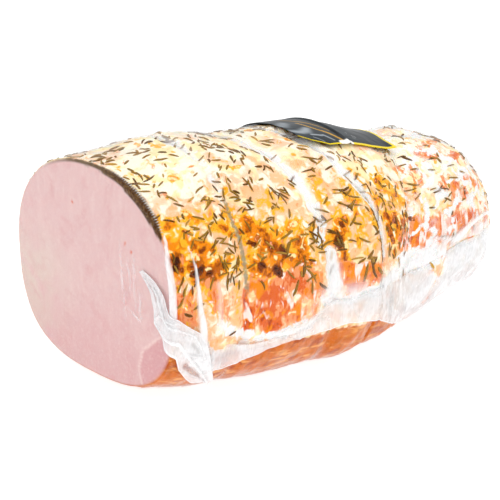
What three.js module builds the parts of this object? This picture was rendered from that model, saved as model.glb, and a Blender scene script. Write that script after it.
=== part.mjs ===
// A boneless baked ham: a log of meat, tied in four places, roasted under chopped rosemary,
// cut square once and shrink-wrapped in a clear bag with a label on top.
//
// Millimetres. +X runs along the log from its cut face to its rounded tail, +Z is up, and the
// log lies on z = 0. The origin is on the flat of the underside, half way along the log.

import * as THREE from "three";
import { mergeVertices } from "three/addons/utils/BufferGeometryUtils.js";

// ---- The log ----
const logLength = 287;
const logWidth = 140;
const logHeight = 137;
const widthShares = [0.98, 1, 0.99, 0.96, 0.85, 0.74, 0.7]; // of half the width, at even stations
const heightShares = [0.9, 1, 0.99, 1, 0.88, 0.78, 0.82]; // of half the height, at the same stations
const undersideRises = [7, 1, 0, 0, 6.5, 19, 7]; // underside above its lowest line
const sideways = [0, -3, -4, -4, -2.5, -1, -4]; // the log bows a little towards -Y
const upperSquareness = 2.2; // superellipse exponents: 2 is an ellipse, larger is squarer
const lowerSquareness = 2.75;
const settle = 1.2; // how far the soft underside is pressed flat by its own weight
const tailLength = 76; // the part of the log that rounds off to the tail
const tailFullness = 2.6;
const tailFlat = 0.2; // share of the section left where the tail's rings stop
const cutPlane = { skew: -0.134, lean: -0.05 }; // slope of the cut in X, per mm of Y and of Z
const rimRadius = 1.5; // the cut's softened edge

// ---- String ties: each pressed a valley round the log, in its own slanted plane ----
const ties = [
  { at: 50, skew: -0.07, lean: 0 },
  { at: 97, skew: -0.2, lean: -0.2 },
  { at: 126, skew: -0.35, lean: -0.1 },
  { at: 202, skew: 0.35, lean: 0 },
];
const tieWidth = 9;
const tieDepth = 2.5;
const straightenLength = 34; // behind the last tie the rings turn square to X again

// ---- Rosemary ----
const needleCount = 40;
const needleLength = 8.5;
const needleWidth = 1.4;
const needleThickness = 0.7;

// ---- Bag ----
const clearance = 0.35; // between neighbouring pieces
const filmThickness = 0.4;
const seamDrops = [18, 18, 19, 9, 5, 3, 3]; // the seams' angle below the widest line, degrees
const seamGapAngle = 1.3; // degrees between the two webs along a seam
const sealThickness = 0.8;
const sealWidths = [13, 13, 14, 16, 18, 20, 20];
const sealLean = 18; // degrees that a seal stands off the surface it hangs over
const sealStart = 32; // the front seal begins past the corner tab
const backSealStart = 6;

// ---- Corner tab: spare film at the cut end, pressed flat against the side ----
const tabStart = 4;
const tabRun = 16; // how far it slants along the log
const tabHighAngle = 168;
const tabLowAngle = 212;
const tabNarrow = 4;
const tabWide = 16;
const tabThickness = 0.8;
const tabStandOff = 3; // extra lift at the tab's loose end

// ---- Label ----
const labelStart = 122; // from the cut, along the log
const labelLength = 70;
const labelNearAngle = 116; // 90 is the top line, 180 the -Y side
const labelFarAngle = 45;
const labelThickness = 0.3;

// ---- Fineness of the meshes ----
const ringStep = 10;
const tailRings = 8;
const upperColumns = 18;
const lowerColumns = 11;
const facetSag = 0.4; // room for a flat facet inside the round it stands for

// ---- Places that follow from the sizes above ----
const cutX = -logLength / 2;
const tailStart = logLength - tailLength;
const lowerLift = clearance; // inside of the lower web above the meat
const meatFloor = lowerLift + filmThickness; // the film lies under the meat on z = 0
const needleTop = clearance + needleThickness;
const upperLift = needleTop + facetSag + clearance; // the upper web clears the rosemary
const outsideLift = upperLift + filmThickness + clearance;

const meat = material("#e9bfbf", 0.45);
const rosemary = material("#6b5322", 0.8);
const film = material("#eef1f2", 0.12, 0.3);
const print = material("#1d2326", 0.25);

function material(color, roughness, opacity = 1) {
  const finish = { color, roughness, metalness: 0, opacity, transparent: opacity < 1 };
  return new THREE.MeshStandardMaterial(finish);
}

// A smooth value along the log through the given values, which stand at even stations.
function along(values) {
  const curve = new THREE.SplineCurve(values.map((v, i) => new THREE.Vector2(i, v)));
  return (distance) => curve.getPoint(THREE.MathUtils.clamp(distance / logLength, 0, 1)).y;
}

const halfWidthAt = along(widthShares.map((share) => (share * logWidth) / 2));
const halfHeightAt = along(heightShares.map((share) => (share * logHeight) / 2));
const riseAt = along(undersideRises);
const sidewaysAt = along(sideways);
const seamDropAt = along(seamDrops);
const sealWidthAt = along(sealWidths);

function tailShareAt(distance) {
  const u = THREE.MathUtils.clamp((distance - tailStart) / tailLength, 0, 1);
  return Math.sqrt(1 - u ** tailFullness);
}

// The point of the log's section at a distance from the cut; angle 0 is +Y and 90 the top.
function sectionPoint(distance, angle, inset = 0) {
  const c = Math.cos(THREE.MathUtils.degToRad(angle));
  const s = Math.sin(THREE.MathUtils.degToRad(angle));
  const power = 2 / (s < 0 ? lowerSquareness : upperSquareness);
  const tail = tailShareAt(distance);
  const halfHeight = halfHeightAt(distance);
  const reachY = halfWidthAt(distance) * tail - inset;
  const reachZ = halfHeight * tail - inset;
  const y = sidewaysAt(distance) + reachY * Math.sign(c) * Math.abs(c) ** power;
  const middle = meatFloor - settle + riseAt(distance) + halfHeight;
  const z = middle + reachZ * Math.sign(s) * Math.abs(s) ** power;
  return new THREE.Vector3(cutX + distance, y, Math.max(z, meatFloor));
}

// ---- Rings: the log's cross lines, each in a slanted plane that follows the nearest ties ----

function ringTilt(station) {
  const stops = [{ at: 0, ...cutPlane }, ...ties];
  stops.push({ at: ties.at(-1).at + straightenLength, skew: 0, lean: 0 });
  const next = stops.findIndex((stop) => stop.at > station);
  if (next < 0) return { skew: 0, lean: 0 };
  const [a, b] = [stops[next - 1], stops[next]];
  const share = (station - a.at) / (b.at - a.at);
  return {
    skew: THREE.MathUtils.lerp(a.skew, b.skew, share),
    lean: THREE.MathUtils.lerp(a.lean, b.lean, share),
  };
}

function valleyDepth(station) {
  const nearest = Math.min(...ties.map((tie) => Math.abs(station - tie.at)));
  if (nearest >= tieWidth / 2) return 0;
  return (tieDepth / 2) * (1 + Math.cos((2 * Math.PI * nearest) / tieWidth));
}

// The stations that the shape needs, then more of them wherever the gap is too long.
function ringStations() {
  const needed = [0, rimRadius];
  for (const tie of ties) needed.push(tie.at - tieWidth / 2, tie.at, tie.at + tieWidth / 2);
  const lastShare = (1 - tailFlat ** 2) ** (1 / tailFullness);
  for (let k = 1; k <= tailRings; k++) {
    const u = lastShare * Math.sin((k / tailRings) * (Math.PI / 2));
    const station = tailStart + tailLength * u;
    if (station > ties.at(-1).at + tieWidth) needed.push(station);
  }
  const stations = [0];
  for (const stop of needed.slice(1)) {
    const from = stations.at(-1);
    const steps = Math.ceil((stop - from) / ringStep);
    for (let k = 1; k <= steps; k++) stations.push(from + ((stop - from) * k) / steps);
  }
  return stations;
}

// Columns run from the -Y seam over the top to the +Y seam, then under the log and back.
function columnAngles(station) {
  const drop = seamDropAt(station);
  const half = seamGapAngle / 2;
  const spread = (from, to, steps) =>
    Array.from({ length: steps + 1 }, (_, k) => from + ((to - from) * k) / steps);
  return [
    ...spread(180 + drop - half, half - drop, upperColumns),
    ...spread(-half - drop, half + drop - 180, lowerColumns),
  ];
}

function ringPoint(station, angle) {
  const { skew, lean } = ringTilt(station);
  const inset = Math.max(0, rimRadius - station) + valleyDepth(station);
  let point = sectionPoint(station, angle, inset);
  for (let pass = 0; pass < 5; pass++) {
    const shift = skew * point.y + lean * (point.z - logHeight / 2);
    point = sectionPoint(station + shift, angle, inset);
  }
  return point;
}

const stations = ringStations();
const rings = stations.map((station) =>
  columnAngles(station).map((angle) => ringPoint(station, angle)),
);
const columns = rings[0].length;

// ---- Mesh builders ----

// A closed geometry from triangles given as triples of points.
function closedGeometry(triangles) {
  const loose = new THREE.BufferGeometry().setFromPoints(triangles.flat());
  const merged = mergeVertices(loose, 1e-4);
  const kept = [];
  for (let i = 0; i < merged.index.count; i += 3) {
    const [a, b, c] = merged.index.array.slice(i, i + 3);
    if (a !== b && b !== c && c !== a) kept.push(a, b, c);
  }
  merged.setIndex(kept);
  merged.computeVertexNormals();
  return merged;
}

// The two triangles of a four-cornered patch whose corners run anticlockwise from outside.
function patch(a, b, c, d) {
  return [
    [a, b, c],
    [a, c, d],
  ];
}

// A thin closed sheet: outer and inner hold the same rows of points, outer facing out.
function sheetGeometry(outer, inner) {
  const triangles = [];
  const last = outer.length - 1;
  const end = outer[0].length - 1;
  for (let i = 0; i < last; i++) {
    for (let j = 0; j < end; j++) {
      const [k, m] = [i + 1, j + 1];
      triangles.push(...patch(outer[i][j], outer[k][j], outer[k][m], outer[i][m]));
      triangles.push(...patch(inner[i][j], inner[i][m], inner[k][m], inner[k][j]));
    }
    const k = i + 1;
    triangles.push(...patch(outer[i][0], inner[i][0], inner[k][0], outer[k][0]));
    triangles.push(...patch(outer[i][end], outer[k][end], inner[k][end], inner[i][end]));
  }
  for (let j = 0; j < end; j++) {
    const m = j + 1;
    triangles.push(...patch(outer[0][j], outer[0][m], inner[0][m], inner[0][j]));
    triangles.push(...patch(outer[last][j], inner[last][j], inner[last][m], outer[last][m]));
  }
  return closedGeometry(triangles);
}

// The log itself: rings joined in a tube and closed by a flat at each end.
function logGeometry() {
  const triangles = [];
  const middleOf = (ring) =>
    ring.reduce((sum, p) => sum.add(p), new THREE.Vector3()).divideScalar(ring.length);
  const [front, back] = [rings[0], rings.at(-1)];
  const [frontMiddle, backMiddle] = [middleOf(front), middleOf(back)];
  for (let j = 0; j < columns; j++) {
    const m = (j + 1) % columns;
    triangles.push([frontMiddle, front[j], front[m]], [backMiddle, back[m], back[j]]);
    for (let i = 0; i + 1 < rings.length; i++) {
      triangles.push(...patch(rings[i][j], rings[i + 1][j], rings[i + 1][m], rings[i][m]));
    }
  }
  return closedGeometry(triangles);
}

const hamGeometry = logGeometry();

// The outward direction at each ring point, looked up in the finished log by place.
const outwards = (() => {
  const place = hamGeometry.getAttribute("position");
  const normal = hamGeometry.getAttribute("normal");
  const key = (p) => p.toArray().map((v) => v.toFixed(2)).join();
  const found = new Map();
  for (let i = 0; i < place.count; i++) {
    const at = new THREE.Vector3().fromBufferAttribute(place, i);
    found.set(key(at), new THREE.Vector3().fromBufferAttribute(normal, i));
  }
  const rounded = (p) => new THREE.Vector3(...p.toArray().map(Math.fround));
  return rings.map((ring) => ring.map((p) => found.get(key(rounded(p)))));
})();

function aboveFloor(point, lift) {
  point.z = Math.max(point.z, meatFloor - lift);
  return point;
}

function liftedRing(i, lift, from, to) {
  const points = [];
  for (let j = from; j <= to; j++) {
    points.push(aboveFloor(rings[i][j].clone().addScaledVector(outwards[i][j], lift), lift));
  }
  return points;
}

// ---- Bag pieces ----

// One web of the bag: it follows the log's columns from seam to seam and closes over half of
// each end, up to a straight line between its two edges.
function webGeometry(from, to, innerLift) {
  const surface = (lift) => {
    const rows = rings.map((_, i) => liftedRing(i, lift, from, to));
    const straight = (row) =>
      row.map((_, j) => row[0].clone().lerp(row.at(-1), j / (row.length - 1)));
    return [straight(rows[0]), ...rows, straight(rows.at(-1))];
  };
  return sheetGeometry(surface(innerLift + filmThickness), surface(innerLift));
}

// The line where two edge columns of the webs meet, with the directions out of and down the
// surface. It bridges the valleys, and ends in the middle of the tail on its own side.
function seamLine(upperColumn, lowerColumn, start) {
  const line = [];
  stations.forEach((station, i) => {
    if (station < start || valleyDepth(station) > 0) return;
    const [above, below] = [rings[i][upperColumn], rings[i][lowerColumn]];
    const out = outwards[i][upperColumn].clone().add(outwards[i][lowerColumn]).normalize();
    const down = below.clone().sub(above);
    down.addScaledVector(out, -down.dot(out)).normalize();
    line.push({ station, at: above.clone().lerp(below, 0.5), out, down });
  });
  const tail = rings.at(-1);
  const middle = tail[0].clone().lerp(tail[upperColumns], 0.5);
  middle.y += Math.sign(tail[upperColumn].y - middle.y) * clearance;
  const [out, down] = [new THREE.Vector3(1, 0, 0), new THREE.Vector3(0, 0, -1)];
  line.push({ station: logLength, at: middle, out, down });
  return line;
}

// A welded edge: a narrow flap that leaves the seam and hangs down over the lower web.
function sealGeometry(line) {
  const lean = THREE.MathUtils.degToRad(sealLean);
  const steps = 3;
  const [outer, inner] = [[], []];
  for (const { station, at, out, down } of line) {
    const across = down.clone().multiplyScalar(Math.cos(lean));
    across.addScaledVector(out, Math.sin(lean));
    const face = out.clone().multiplyScalar(Math.cos(lean));
    face.addScaledVector(down, -Math.sin(lean));
    const root = at.clone().addScaledVector(out, outsideLift);
    const row = [];
    for (let k = 0; k <= steps; k++) {
      row.push(root.clone().addScaledVector(across, (sealWidthAt(station) * k) / steps));
    }
    inner.push(row);
    outer.push(row.map((p) => p.clone().addScaledVector(face, sealThickness)));
  }
  const facesFront = line[0].out.y < 0;
  return facesFront
    ? sheetGeometry(outer.reverse(), inner.reverse())
    : sheetGeometry(outer, inner);
}

// A sheet laid on the log: place gives the distance, angle and lift of each grid point.
function laidSheet(rows, steps, thickness, place) {
  const small = 0.5;
  const surface = (extra) =>
    Array.from({ length: rows + 1 }, (_, i) =>
      Array.from({ length: steps + 1 }, (_, j) => {
        const { distance, angle, lift } = place(i / rows, j / steps);
        const at = sectionPoint(distance, angle);
        const forward = sectionPoint(distance + small, angle).sub(at);
        const round = sectionPoint(distance, angle + small).sub(at);
        return at.addScaledVector(round.cross(forward).normalize(), lift + extra);
      }),
    );
  return sheetGeometry(surface(thickness), surface(0));
}

function labelGeometry() {
  return laidSheet(10, 8, labelThickness, (u, v) => ({
    distance: labelStart + labelLength * u,
    angle: THREE.MathUtils.lerp(labelNearAngle, labelFarAngle, v),
    lift: outsideLift + facetSag,
  }));
}

function cornerTabGeometry() {
  return laidSheet(4, 6, tabThickness, (u, v) => {
    const drop = 1 - v; // 0 at the tab's narrow top, 1 at its loose end
    const angle = THREE.MathUtils.lerp(tabHighAngle, tabLowAngle, drop);
    const width = THREE.MathUtils.lerp(tabNarrow, tabWide, drop);
    const cutShift = cutPlane.skew * sectionPoint(0, angle).y;
    const distance = cutShift + tabStart + tabRun * drop + width * u;
    return { distance, angle, lift: outsideLift + facetSag + tabStandOff * drop };
  });
}

// ---- Rosemary needles ----

// A pointed leaf, flat underneath, lying along +X with its middle at the origin.
function needleGeometry() {
  const [end, side] = [needleLength / 2, needleWidth];
  const outline = new THREE.Shape();
  outline.moveTo(-end, 0);
  outline.quadraticCurveTo(0, -side, end, 0);
  outline.quadraticCurveTo(0, side, -end, 0);
  const options = { depth: needleThickness, bevelEnabled: false, curveSegments: 4 };
  const geometry = new THREE.ExtrudeGeometry(outline, options);
  geometry.deleteAttribute("uv");
  geometry.deleteAttribute("normal");
  return mergeVertices(geometry, 1e-4);
}

// Whether a point of the log is under the label, or within a needle's length of it.
function underLabel(point, angle) {
  const distance = point.x - cutX;
  const within = (value, from, to) => value > from - needleLength && value < to + needleLength;
  const alongside = within(distance, labelStart, labelStart + labelLength);
  return alongside && within(angle, labelFarAngle, labelNearAngle);
}

// Grid cells of the upper log where a needle can lie: long enough for it, and none in a valley,
// where the tail turns in, or under the label.
function needleCells() {
  const cells = [];
  for (let i = 0; i + 1 < stations.length; i++) {
    const middle = (stations[i] + stations[i + 1]) / 2;
    const nearTie = ties.some((tie) => Math.abs(middle - tie.at) < tieWidth);
    if (nearTie || middle > tailStart + tailLength / 2) continue;
    for (let j = 1; j + 2 < upperColumns; j++) {
      const [near, far] = [rings[i], rings[i + 1]];
      const edges = [near[j].distanceTo(far[j]), near[j + 1].distanceTo(far[j + 1])];
      const covered = underLabel(near[j].clone().lerp(far[j + 1], 0.5), columnAngles(middle)[j]);
      if (Math.min(...edges) > needleLength && !covered) cells.push([i, j]);
    }
  }
  return cells;
}

// A needle lies flat in its cell, turned by its own angle about the outward direction.
function placeNeedle(mesh, [i, j], turn) {
  const corners = [rings[i][j], rings[i + 1][j], rings[i + 1][j + 1], rings[i][j + 1]];
  const middle = corners.reduce((sum, p) => sum.add(p), new THREE.Vector3()).divideScalar(4);
  const out = corners[2].clone().sub(corners[0]).cross(corners[3].clone().sub(corners[1]));
  out.normalize();
  const forward = corners[1].clone().sub(corners[0]).normalize().applyAxisAngle(out, turn);
  const side = out.clone().cross(forward).normalize();
  forward.crossVectors(side, out);
  mesh.quaternion.setFromRotationMatrix(new THREE.Matrix4().makeBasis(forward, side, out));
  mesh.position.copy(middle.addScaledVector(out, clearance));
}

// ---- Assembly ----

const bakedHam = new THREE.Group();
bakedHam.name = "baked_ham";

function add(name, geometry, finish) {
  const mesh = new THREE.Mesh(geometry, finish);
  mesh.name = name;
  bakedHam.add(mesh);
  return mesh;
}

add("ham", hamGeometry, meat);
add("film_upper", webGeometry(0, upperColumns, upperLift), film);
add("film_lower", webGeometry(upperColumns + 1, columns - 1, lowerLift), film);
add("front_seal", sealGeometry(seamLine(0, columns - 1, sealStart)), film);
add("back_seal", sealGeometry(seamLine(upperColumns, upperColumns + 1, backSealStart)), film);
add("corner_tab", cornerTabGeometry(), film);
add("label", labelGeometry(), print);

const cells = needleCells();
for (let k = 0; k < needleCount; k++) {
  const cell = cells[Math.floor(((k + 0.5) * cells.length) / needleCount)];
  const number = String(k + 1).padStart(2, "0");
  const goldenTurn = k * Math.PI * (3 - Math.sqrt(5));
  placeNeedle(add("rosemary_needle_" + number, needleGeometry(), rosemary), cell, goldenTurn);
}

export default bakedHam;
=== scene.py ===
"""A baked ham in its clear shrink bag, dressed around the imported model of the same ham.

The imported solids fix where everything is. The surfaces here follow the same log, worked out
again on a fine grid, so that the meat can be lumpy and the film can crease. Shapes are worked
out in millimetres and turned to metres when a mesh is made.
"""

import itertools
import logging
import math
from collections.abc import Sequence
from dataclasses import dataclass, field
from enum import Enum

import bpy
import numpy as np
from mathutils import Matrix, Vector


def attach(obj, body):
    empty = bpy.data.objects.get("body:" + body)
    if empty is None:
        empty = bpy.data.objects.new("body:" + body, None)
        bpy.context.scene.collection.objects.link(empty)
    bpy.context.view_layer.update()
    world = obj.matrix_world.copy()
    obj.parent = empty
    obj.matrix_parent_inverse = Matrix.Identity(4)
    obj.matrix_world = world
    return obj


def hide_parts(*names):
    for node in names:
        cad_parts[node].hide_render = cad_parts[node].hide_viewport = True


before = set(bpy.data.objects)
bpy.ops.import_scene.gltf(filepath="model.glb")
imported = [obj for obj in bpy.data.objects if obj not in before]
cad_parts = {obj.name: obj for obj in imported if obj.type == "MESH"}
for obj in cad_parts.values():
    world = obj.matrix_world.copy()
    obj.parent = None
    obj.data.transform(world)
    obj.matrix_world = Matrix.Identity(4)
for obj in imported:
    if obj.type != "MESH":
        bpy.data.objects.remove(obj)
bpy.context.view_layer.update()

LOG = logging.getLogger("baked_ham")
MILLIMETRE = 0.001
BODY = "root"

Array = np.ndarray
Faces = list[Sequence[int]]
Triple = tuple[float, float, float]
Colour = tuple[float, float, float, float]
Socket = bpy.types.NodeSocket


# ---------------------------------------------------------------------------------------------
# Numbers: smooth steps, noise and marks drawn on the surface
# ---------------------------------------------------------------------------------------------


def smooth_step(low: float, high: float, value: Array) -> Array:
    """Ease from 0 at low to 1 at high.

    Args:
        low: Where the result leaves 0 (may be above high, for a falling step).
        high: Where the result reaches 1.
        value: The numbers to ease.

    Returns:
        Numbers from 0 to 1.
    """
    share = np.clip((value - low) / (high - low), 0.0, 1.0)
    return share * share * (3.0 - 2.0 * share)


def bump(value: Array, centre: float, half_width: float) -> Array:
    """Give a smooth hill of height 1 at centre that ends half_width away."""
    return smooth_step(1.0, 0.0, np.abs(value - centre) / half_width)


def gradient_noise(points: Array, seed: int) -> Array:
    """Give smooth noise over space, with cells one unit wide.

    Args:
        points: Places, one row of three numbers each.
        seed: Picks the pattern.

    Returns:
        One number from about -1 to 1 for each place.
    """
    table = np.random.default_rng(seed).normal(size=(256, 3))
    table /= np.linalg.norm(table, axis=1, keepdims=True)
    cell = np.floor(points).astype(np.int64)
    inside = points - cell
    ease = inside**3 * (inside * (inside * 6.0 - 15.0) + 10.0)
    total = np.zeros(points.shape[:-1])
    for corner in itertools.product((0, 1), repeat=3):
        key = cell + np.array(corner)
        mixed = (key[..., 0] * 73856093) ^ (key[..., 1] * 19349663) ^ (key[..., 2] * 83492791)
        slope = table[mixed & 255]
        reach = inside - np.array(corner)
        weight = np.prod(np.where(np.array(corner) == 1, ease, 1.0 - ease), axis=-1)
        total += weight * (reach * slope).sum(axis=-1)
    return total * 1.6


def fractal(points: Array, size: float, seed: int, octaves: int = 2) -> Array:
    """Add up octaves of noise whose largest features are size millimetres wide.

    Args:
        points: Places in millimetres.
        size: Width of the largest features.
        seed: Picks the pattern.
        octaves: How many finer copies are added.

    Returns:
        One number from about -1 to 1 for each place.
    """
    total = np.zeros(points.shape[:-1])
    for octave in range(octaves):
        total += gradient_noise(points / size * 2.0**octave, seed + octave) * 0.5**octave
    return total


@dataclass(frozen=True)
class Stroke:
    """A mark drawn on the log: places (station, angle, half width in mm) joined in order."""

    places: tuple[Triple, ...]
    strength: float = 1.0
    softness: float = 0.6

    def mask(self, station: Array, angle: Array, arc: float) -> Array:
        """Give how strongly the mark covers each point.

        Args:
            station: Distance along the log, in millimetres.
            angle: Angle round the log, in degrees.
            arc: Millimetres per degree round the log.

        Returns:
            Numbers from 0 to the mark's strength.
        """
        best = np.full(station.shape, 9.0)
        for (s0, a0, w0), (s1, a1, w1) in zip(self.places, self.places[1:]):
            along, round_ = s1 - s0, (a1 - a0) * arc
            length = max(along * along + round_ * round_, 1e-6)
            x, y = station - s0, (angle - a0) * arc
            share = np.clip((x * along + y * round_) / length, 0.0, 1.0)
            distance = np.hypot(x - share * along, y - share * round_)
            best = np.minimum(best, distance / (w0 + share * (w1 - w0)))
        return self.strength * smooth_step(1.0 + self.softness, 1.0 - self.softness, best)


def strokes_mask(strokes: tuple[Stroke, ...], station: Array, angle: Array, arc: float) -> Array:
    """Give the strongest of several marks at each point.

    Args:
        strokes: The marks.
        station: Distance along the log, in millimetres.
        angle: Angle round the log, in degrees.
        arc: Millimetres per degree round the log.

    Returns:
        Numbers from 0 to the strongest mark's strength.
    """
    total = np.zeros(station.shape)
    for stroke in strokes:
        total = np.maximum(total, stroke.mask(station, angle, arc))
    return total


# ---------------------------------------------------------------------------------------------
# The log's shape, shared by the meat, the film, the label and the herbs
# ---------------------------------------------------------------------------------------------


@dataclass(frozen=True)
class Tie:
    """A valley left by a string, in a plane that slants by skew and lean across the log."""

    at: float
    skew: float
    lean: float


@dataclass(frozen=True)
class Valley:
    """Where a string's dent runs: its station at some angles, and its half width."""

    angles: tuple[float, ...]
    stations: tuple[float, ...]
    reach: float = 5.6


@dataclass(frozen=True)
class LogShape:
    """The ham's outline: squarish sections along a slightly bowed line, with a rounded tail.

    A point is named by its station, the distance from the cut along the middle of the log,
    and its angle, where 0 is +Y, 90 the top and 180 the -Y side. A negative station lies on
    the cut face, that many millimetres in from its rim.
    """

    length: float = 287.0
    width: float = 140.0
    height: float = 137.0
    width_shares: tuple[float, ...] = (0.98, 1.0, 0.99, 0.96, 0.85, 0.74, 0.7)
    height_shares: tuple[float, ...] = (0.9, 1.0, 0.99, 1.0, 0.88, 0.78, 0.82)
    rises: tuple[float, ...] = (7.0, 1.0, 0.0, 0.0, 6.5, 19.0, 7.0)
    sideways: tuple[float, ...] = (0.0, -3.0, -4.0, -4.0, -2.5, -1.0, -4.0)
    seam_drops: tuple[float, ...] = (18.0, 18.0, 19.0, 9.0, 5.0, 3.0, 3.0)
    upper_squareness: float = 2.2
    lower_squareness: float = 2.75
    settle: float = 1.2
    floor: float = 0.75
    tail_length: float = 76.0
    tail_fullness: float = 2.6
    cut_skew: float = -0.134
    cut_lean: float = -0.05
    rim: float = 1.5
    ties: tuple[Tie, ...] = (
        Tie(50.0, -0.07, 0.0),
        Tie(97.0, -0.2, -0.2),
        Tie(126.0, -0.35, -0.1),
        Tie(202.0, 0.35, 0.0),
    )
    valleys: tuple[Valley, ...] = (
        Valley((60.0, 132.0, 148.0, 164.0, 178.0, 250.0), (48.0, 44.5, 45.0, 47.0, 48.5, 49.0)),
        Valley((60.0, 132.0, 150.0, 172.0, 183.0, 250.0), (97.0, 100.0, 98.5, 99.0, 98.0, 97.0)),
        Valley((60.0, 133.0, 147.0, 164.0, 175.0, 250.0),
               (125.0, 122.0, 126.0, 133.0, 131.0, 127.0)),
        Valley((60.0, 112.0, 135.0, 156.0, 250.0), (203.0, 203.0, 198.5, 202.0, 202.0), 7.0),
    )
    straighten: float = 34.0
    arc: float = 1.22  # millimetres per degree round the log

    @property
    def face_reach(self) -> float:
        """Millimetres from the cut face's rim to its middle, as stations count them."""
        return self.height / 2.0

    def along(self, values: tuple[float, ...], distance: Array) -> Array:
        """Read a smooth curve through values that stand at even stations.

        Args:
            values: The values, from the cut to the tail.
            distance: Millimetres from the cut.

        Returns:
            The curve's value at each distance.
        """
        points = np.array([values[0], *values, values[-1]])
        place = np.clip(distance / self.length, 0.0, 1.0) * (len(values) - 1)
        index = np.minimum(place.astype(int), len(values) - 2)
        t = place - index
        p0, p1, p2, p3 = (points[index + k] for k in range(4))
        v0, v1 = (p2 - p0) / 2.0, (p3 - p1) / 2.0
        cubic = (2.0 * p1 - 2.0 * p2 + v0 + v1) * t**3
        return cubic + (-3.0 * p1 + 3.0 * p2 - 2.0 * v0 - v1) * t**2 + v0 * t + p1

    def section(self, distance: Array, angle: Array, inset: Array) -> Array:
        """Give points of the log's square cross sections.

        Args:
            distance: Millimetres from the cut.
            angle: Degrees round the section.
            inset: Millimetres that the section is drawn in by.

        Returns:
            Points in millimetres, in the model's own frame.
        """
        cosine, sine = np.cos(np.radians(angle)), np.sin(np.radians(angle))
        power = 2.0 / np.where(sine < 0.0, self.lower_squareness, self.upper_squareness)
        past = np.clip((distance - self.length + self.tail_length) / self.tail_length, 0.0, 1.0)
        tail = np.sqrt(1.0 - past**self.tail_fullness)
        half_height = self.along(self.height_shares, distance) * self.height / 2.0
        half_width = self.along(self.width_shares, distance) * self.width / 2.0
        reach_y, reach_z = half_width * tail - inset, half_height * tail - inset
        bow = self.along(self.sideways, distance)
        y = bow + reach_y * np.sign(cosine) * np.abs(cosine) ** power
        middle = self.floor - self.settle + self.along(self.rises, distance) + half_height
        z = middle + reach_z * np.sign(sine) * np.abs(sine) ** power
        return np.stack([distance - self.length / 2.0, y, z], axis=-1)

    def tilt(self, station: Array) -> tuple[Array, Array]:
        """Give how a ring slants along the log.

        Args:
            station: Distance of the ring from the cut, in millimetres.

        Returns:
            Millimetres along X, per millimetre of Y and of Z.
        """
        last = self.ties[-1].at + self.straighten
        stops = [0.0, *(tie.at for tie in self.ties), last]
        skews = [self.cut_skew, *(tie.skew for tie in self.ties), 0.0]
        leans = [self.cut_lean, *(tie.lean for tie in self.ties), 0.0]
        return np.interp(station, stops, skews), np.interp(station, stops, leans)

    def surface(self, station: Array, angle: Array) -> Array:
        """Give points of the plain, undented log.

        Args:
            station: Millimetres from the cut, or below 0 on the cut face.
            angle: Degrees round the log.

        Returns:
            Points in millimetres.
        """
        station, angle = np.broadcast_arrays(station, angle)
        outside = np.maximum(station, 0.0)
        to_rim = np.maximum(self.rim - outside, 0.0)
        inset = self.rim - np.sqrt(np.maximum(self.rim**2 - to_rim**2, 0.0))
        skew, lean = self.tilt(outside)
        distance = outside
        for _ in range(5):
            point = self.section(distance, angle, inset)
            distance = outside + skew * point[..., 1] + lean * (point[..., 2] - self.height / 2.0)
        point = self.section(distance, angle, inset)
        middle = self.face_middle()
        share = np.clip(-station / self.face_reach, 0.0, 1.0)[..., None]
        return point + (middle - point) * share

    def face_middle(self) -> Array:
        """Find the middle of the cut face.

        Returns:
            A point in millimetres.
        """
        half_height = self.height_shares[0] * self.height / 2.0
        z = self.floor - self.settle + self.rises[0] + half_height
        shift = self.cut_lean * (z - self.height / 2.0)
        return np.array([shift - self.length / 2.0, 0.0, z])

    def normals(self, points: Array) -> Array:
        """Work out outward directions for a grid of points.

        Args:
            points: Rows along X, with columns that run the way that angles fall.

        Returns:
            One direction of length 1 for each point.
        """
        along = np.gradient(points, axis=0)
        round_ = np.gradient(points, axis=1)
        out = np.cross(along, round_)
        size = np.linalg.norm(out, axis=-1, keepdims=True)
        return out / np.maximum(size, 1e-9)

    def valley(self, station: Array, angle: Array) -> Array:
        """Give how deep in a string's valley each point is.

        Args:
            station: Stations of the points.
            angle: Their angles.

        Returns:
            Numbers from 0, clear of every valley, to 1 at the bottom of one.
        """
        depth = np.zeros(np.shape(station))
        for valley in self.valleys:
            middle = np.interp(angle, valley.angles, valley.stations, period=360.0)
            depth = np.maximum(depth, bump(station - middle, 0.0, valley.reach))
        return depth


@dataclass
class Sheet:
    """A grid of points on the log with their directions, ready to be lifted off it."""

    shape: LogShape
    stations: Array
    angles: Array
    points: Array = field(init=False)
    out: Array = field(init=False)

    def __post_init__(self) -> None:
        """Work out the points and the outward directions."""
        self.points = self.shape.surface(self.stations, self.angles)
        step = 0.4
        ahead = self.shape.surface(np.maximum(self.stations + step, step), self.angles)
        behind = self.shape.surface(np.maximum(self.stations - step, 0.0), self.angles)
        left = self.shape.surface(np.maximum(self.stations, 0.0), self.angles + step)
        right = self.shape.surface(np.maximum(self.stations, 0.0), self.angles - step)
        side = np.cross(left - right, ahead - behind)
        side /= np.maximum(np.linalg.norm(side, axis=-1, keepdims=True), 1e-9)
        side = np.where(self.stations[..., None] > self.shape.length - 0.8, [1.0, 0.0, 0.0], side)
        face = np.array([-1.0, self.shape.cut_skew, self.shape.cut_lean])
        face /= np.linalg.norm(face)
        turn = smooth_step(0.0, self.shape.rim, self.stations)[..., None]
        mixed = face * (1.0 - turn) + side * turn
        self.out = mixed / np.linalg.norm(mixed, axis=-1, keepdims=True)

    def lifted(self, lift: Array, lowest: float = 0.0) -> Array:
        """Move the points out by lift millimetres, but never below a height.

        Args:
            lift: Millimetres, for each point or for all.
            lowest: The least height of any point.

        Returns:
            The moved points, in millimetres.
        """
        moved = self.points + self.out * np.asarray(lift)[..., None]
        moved[..., 2] = np.maximum(moved[..., 2], lowest)
        return moved


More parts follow.
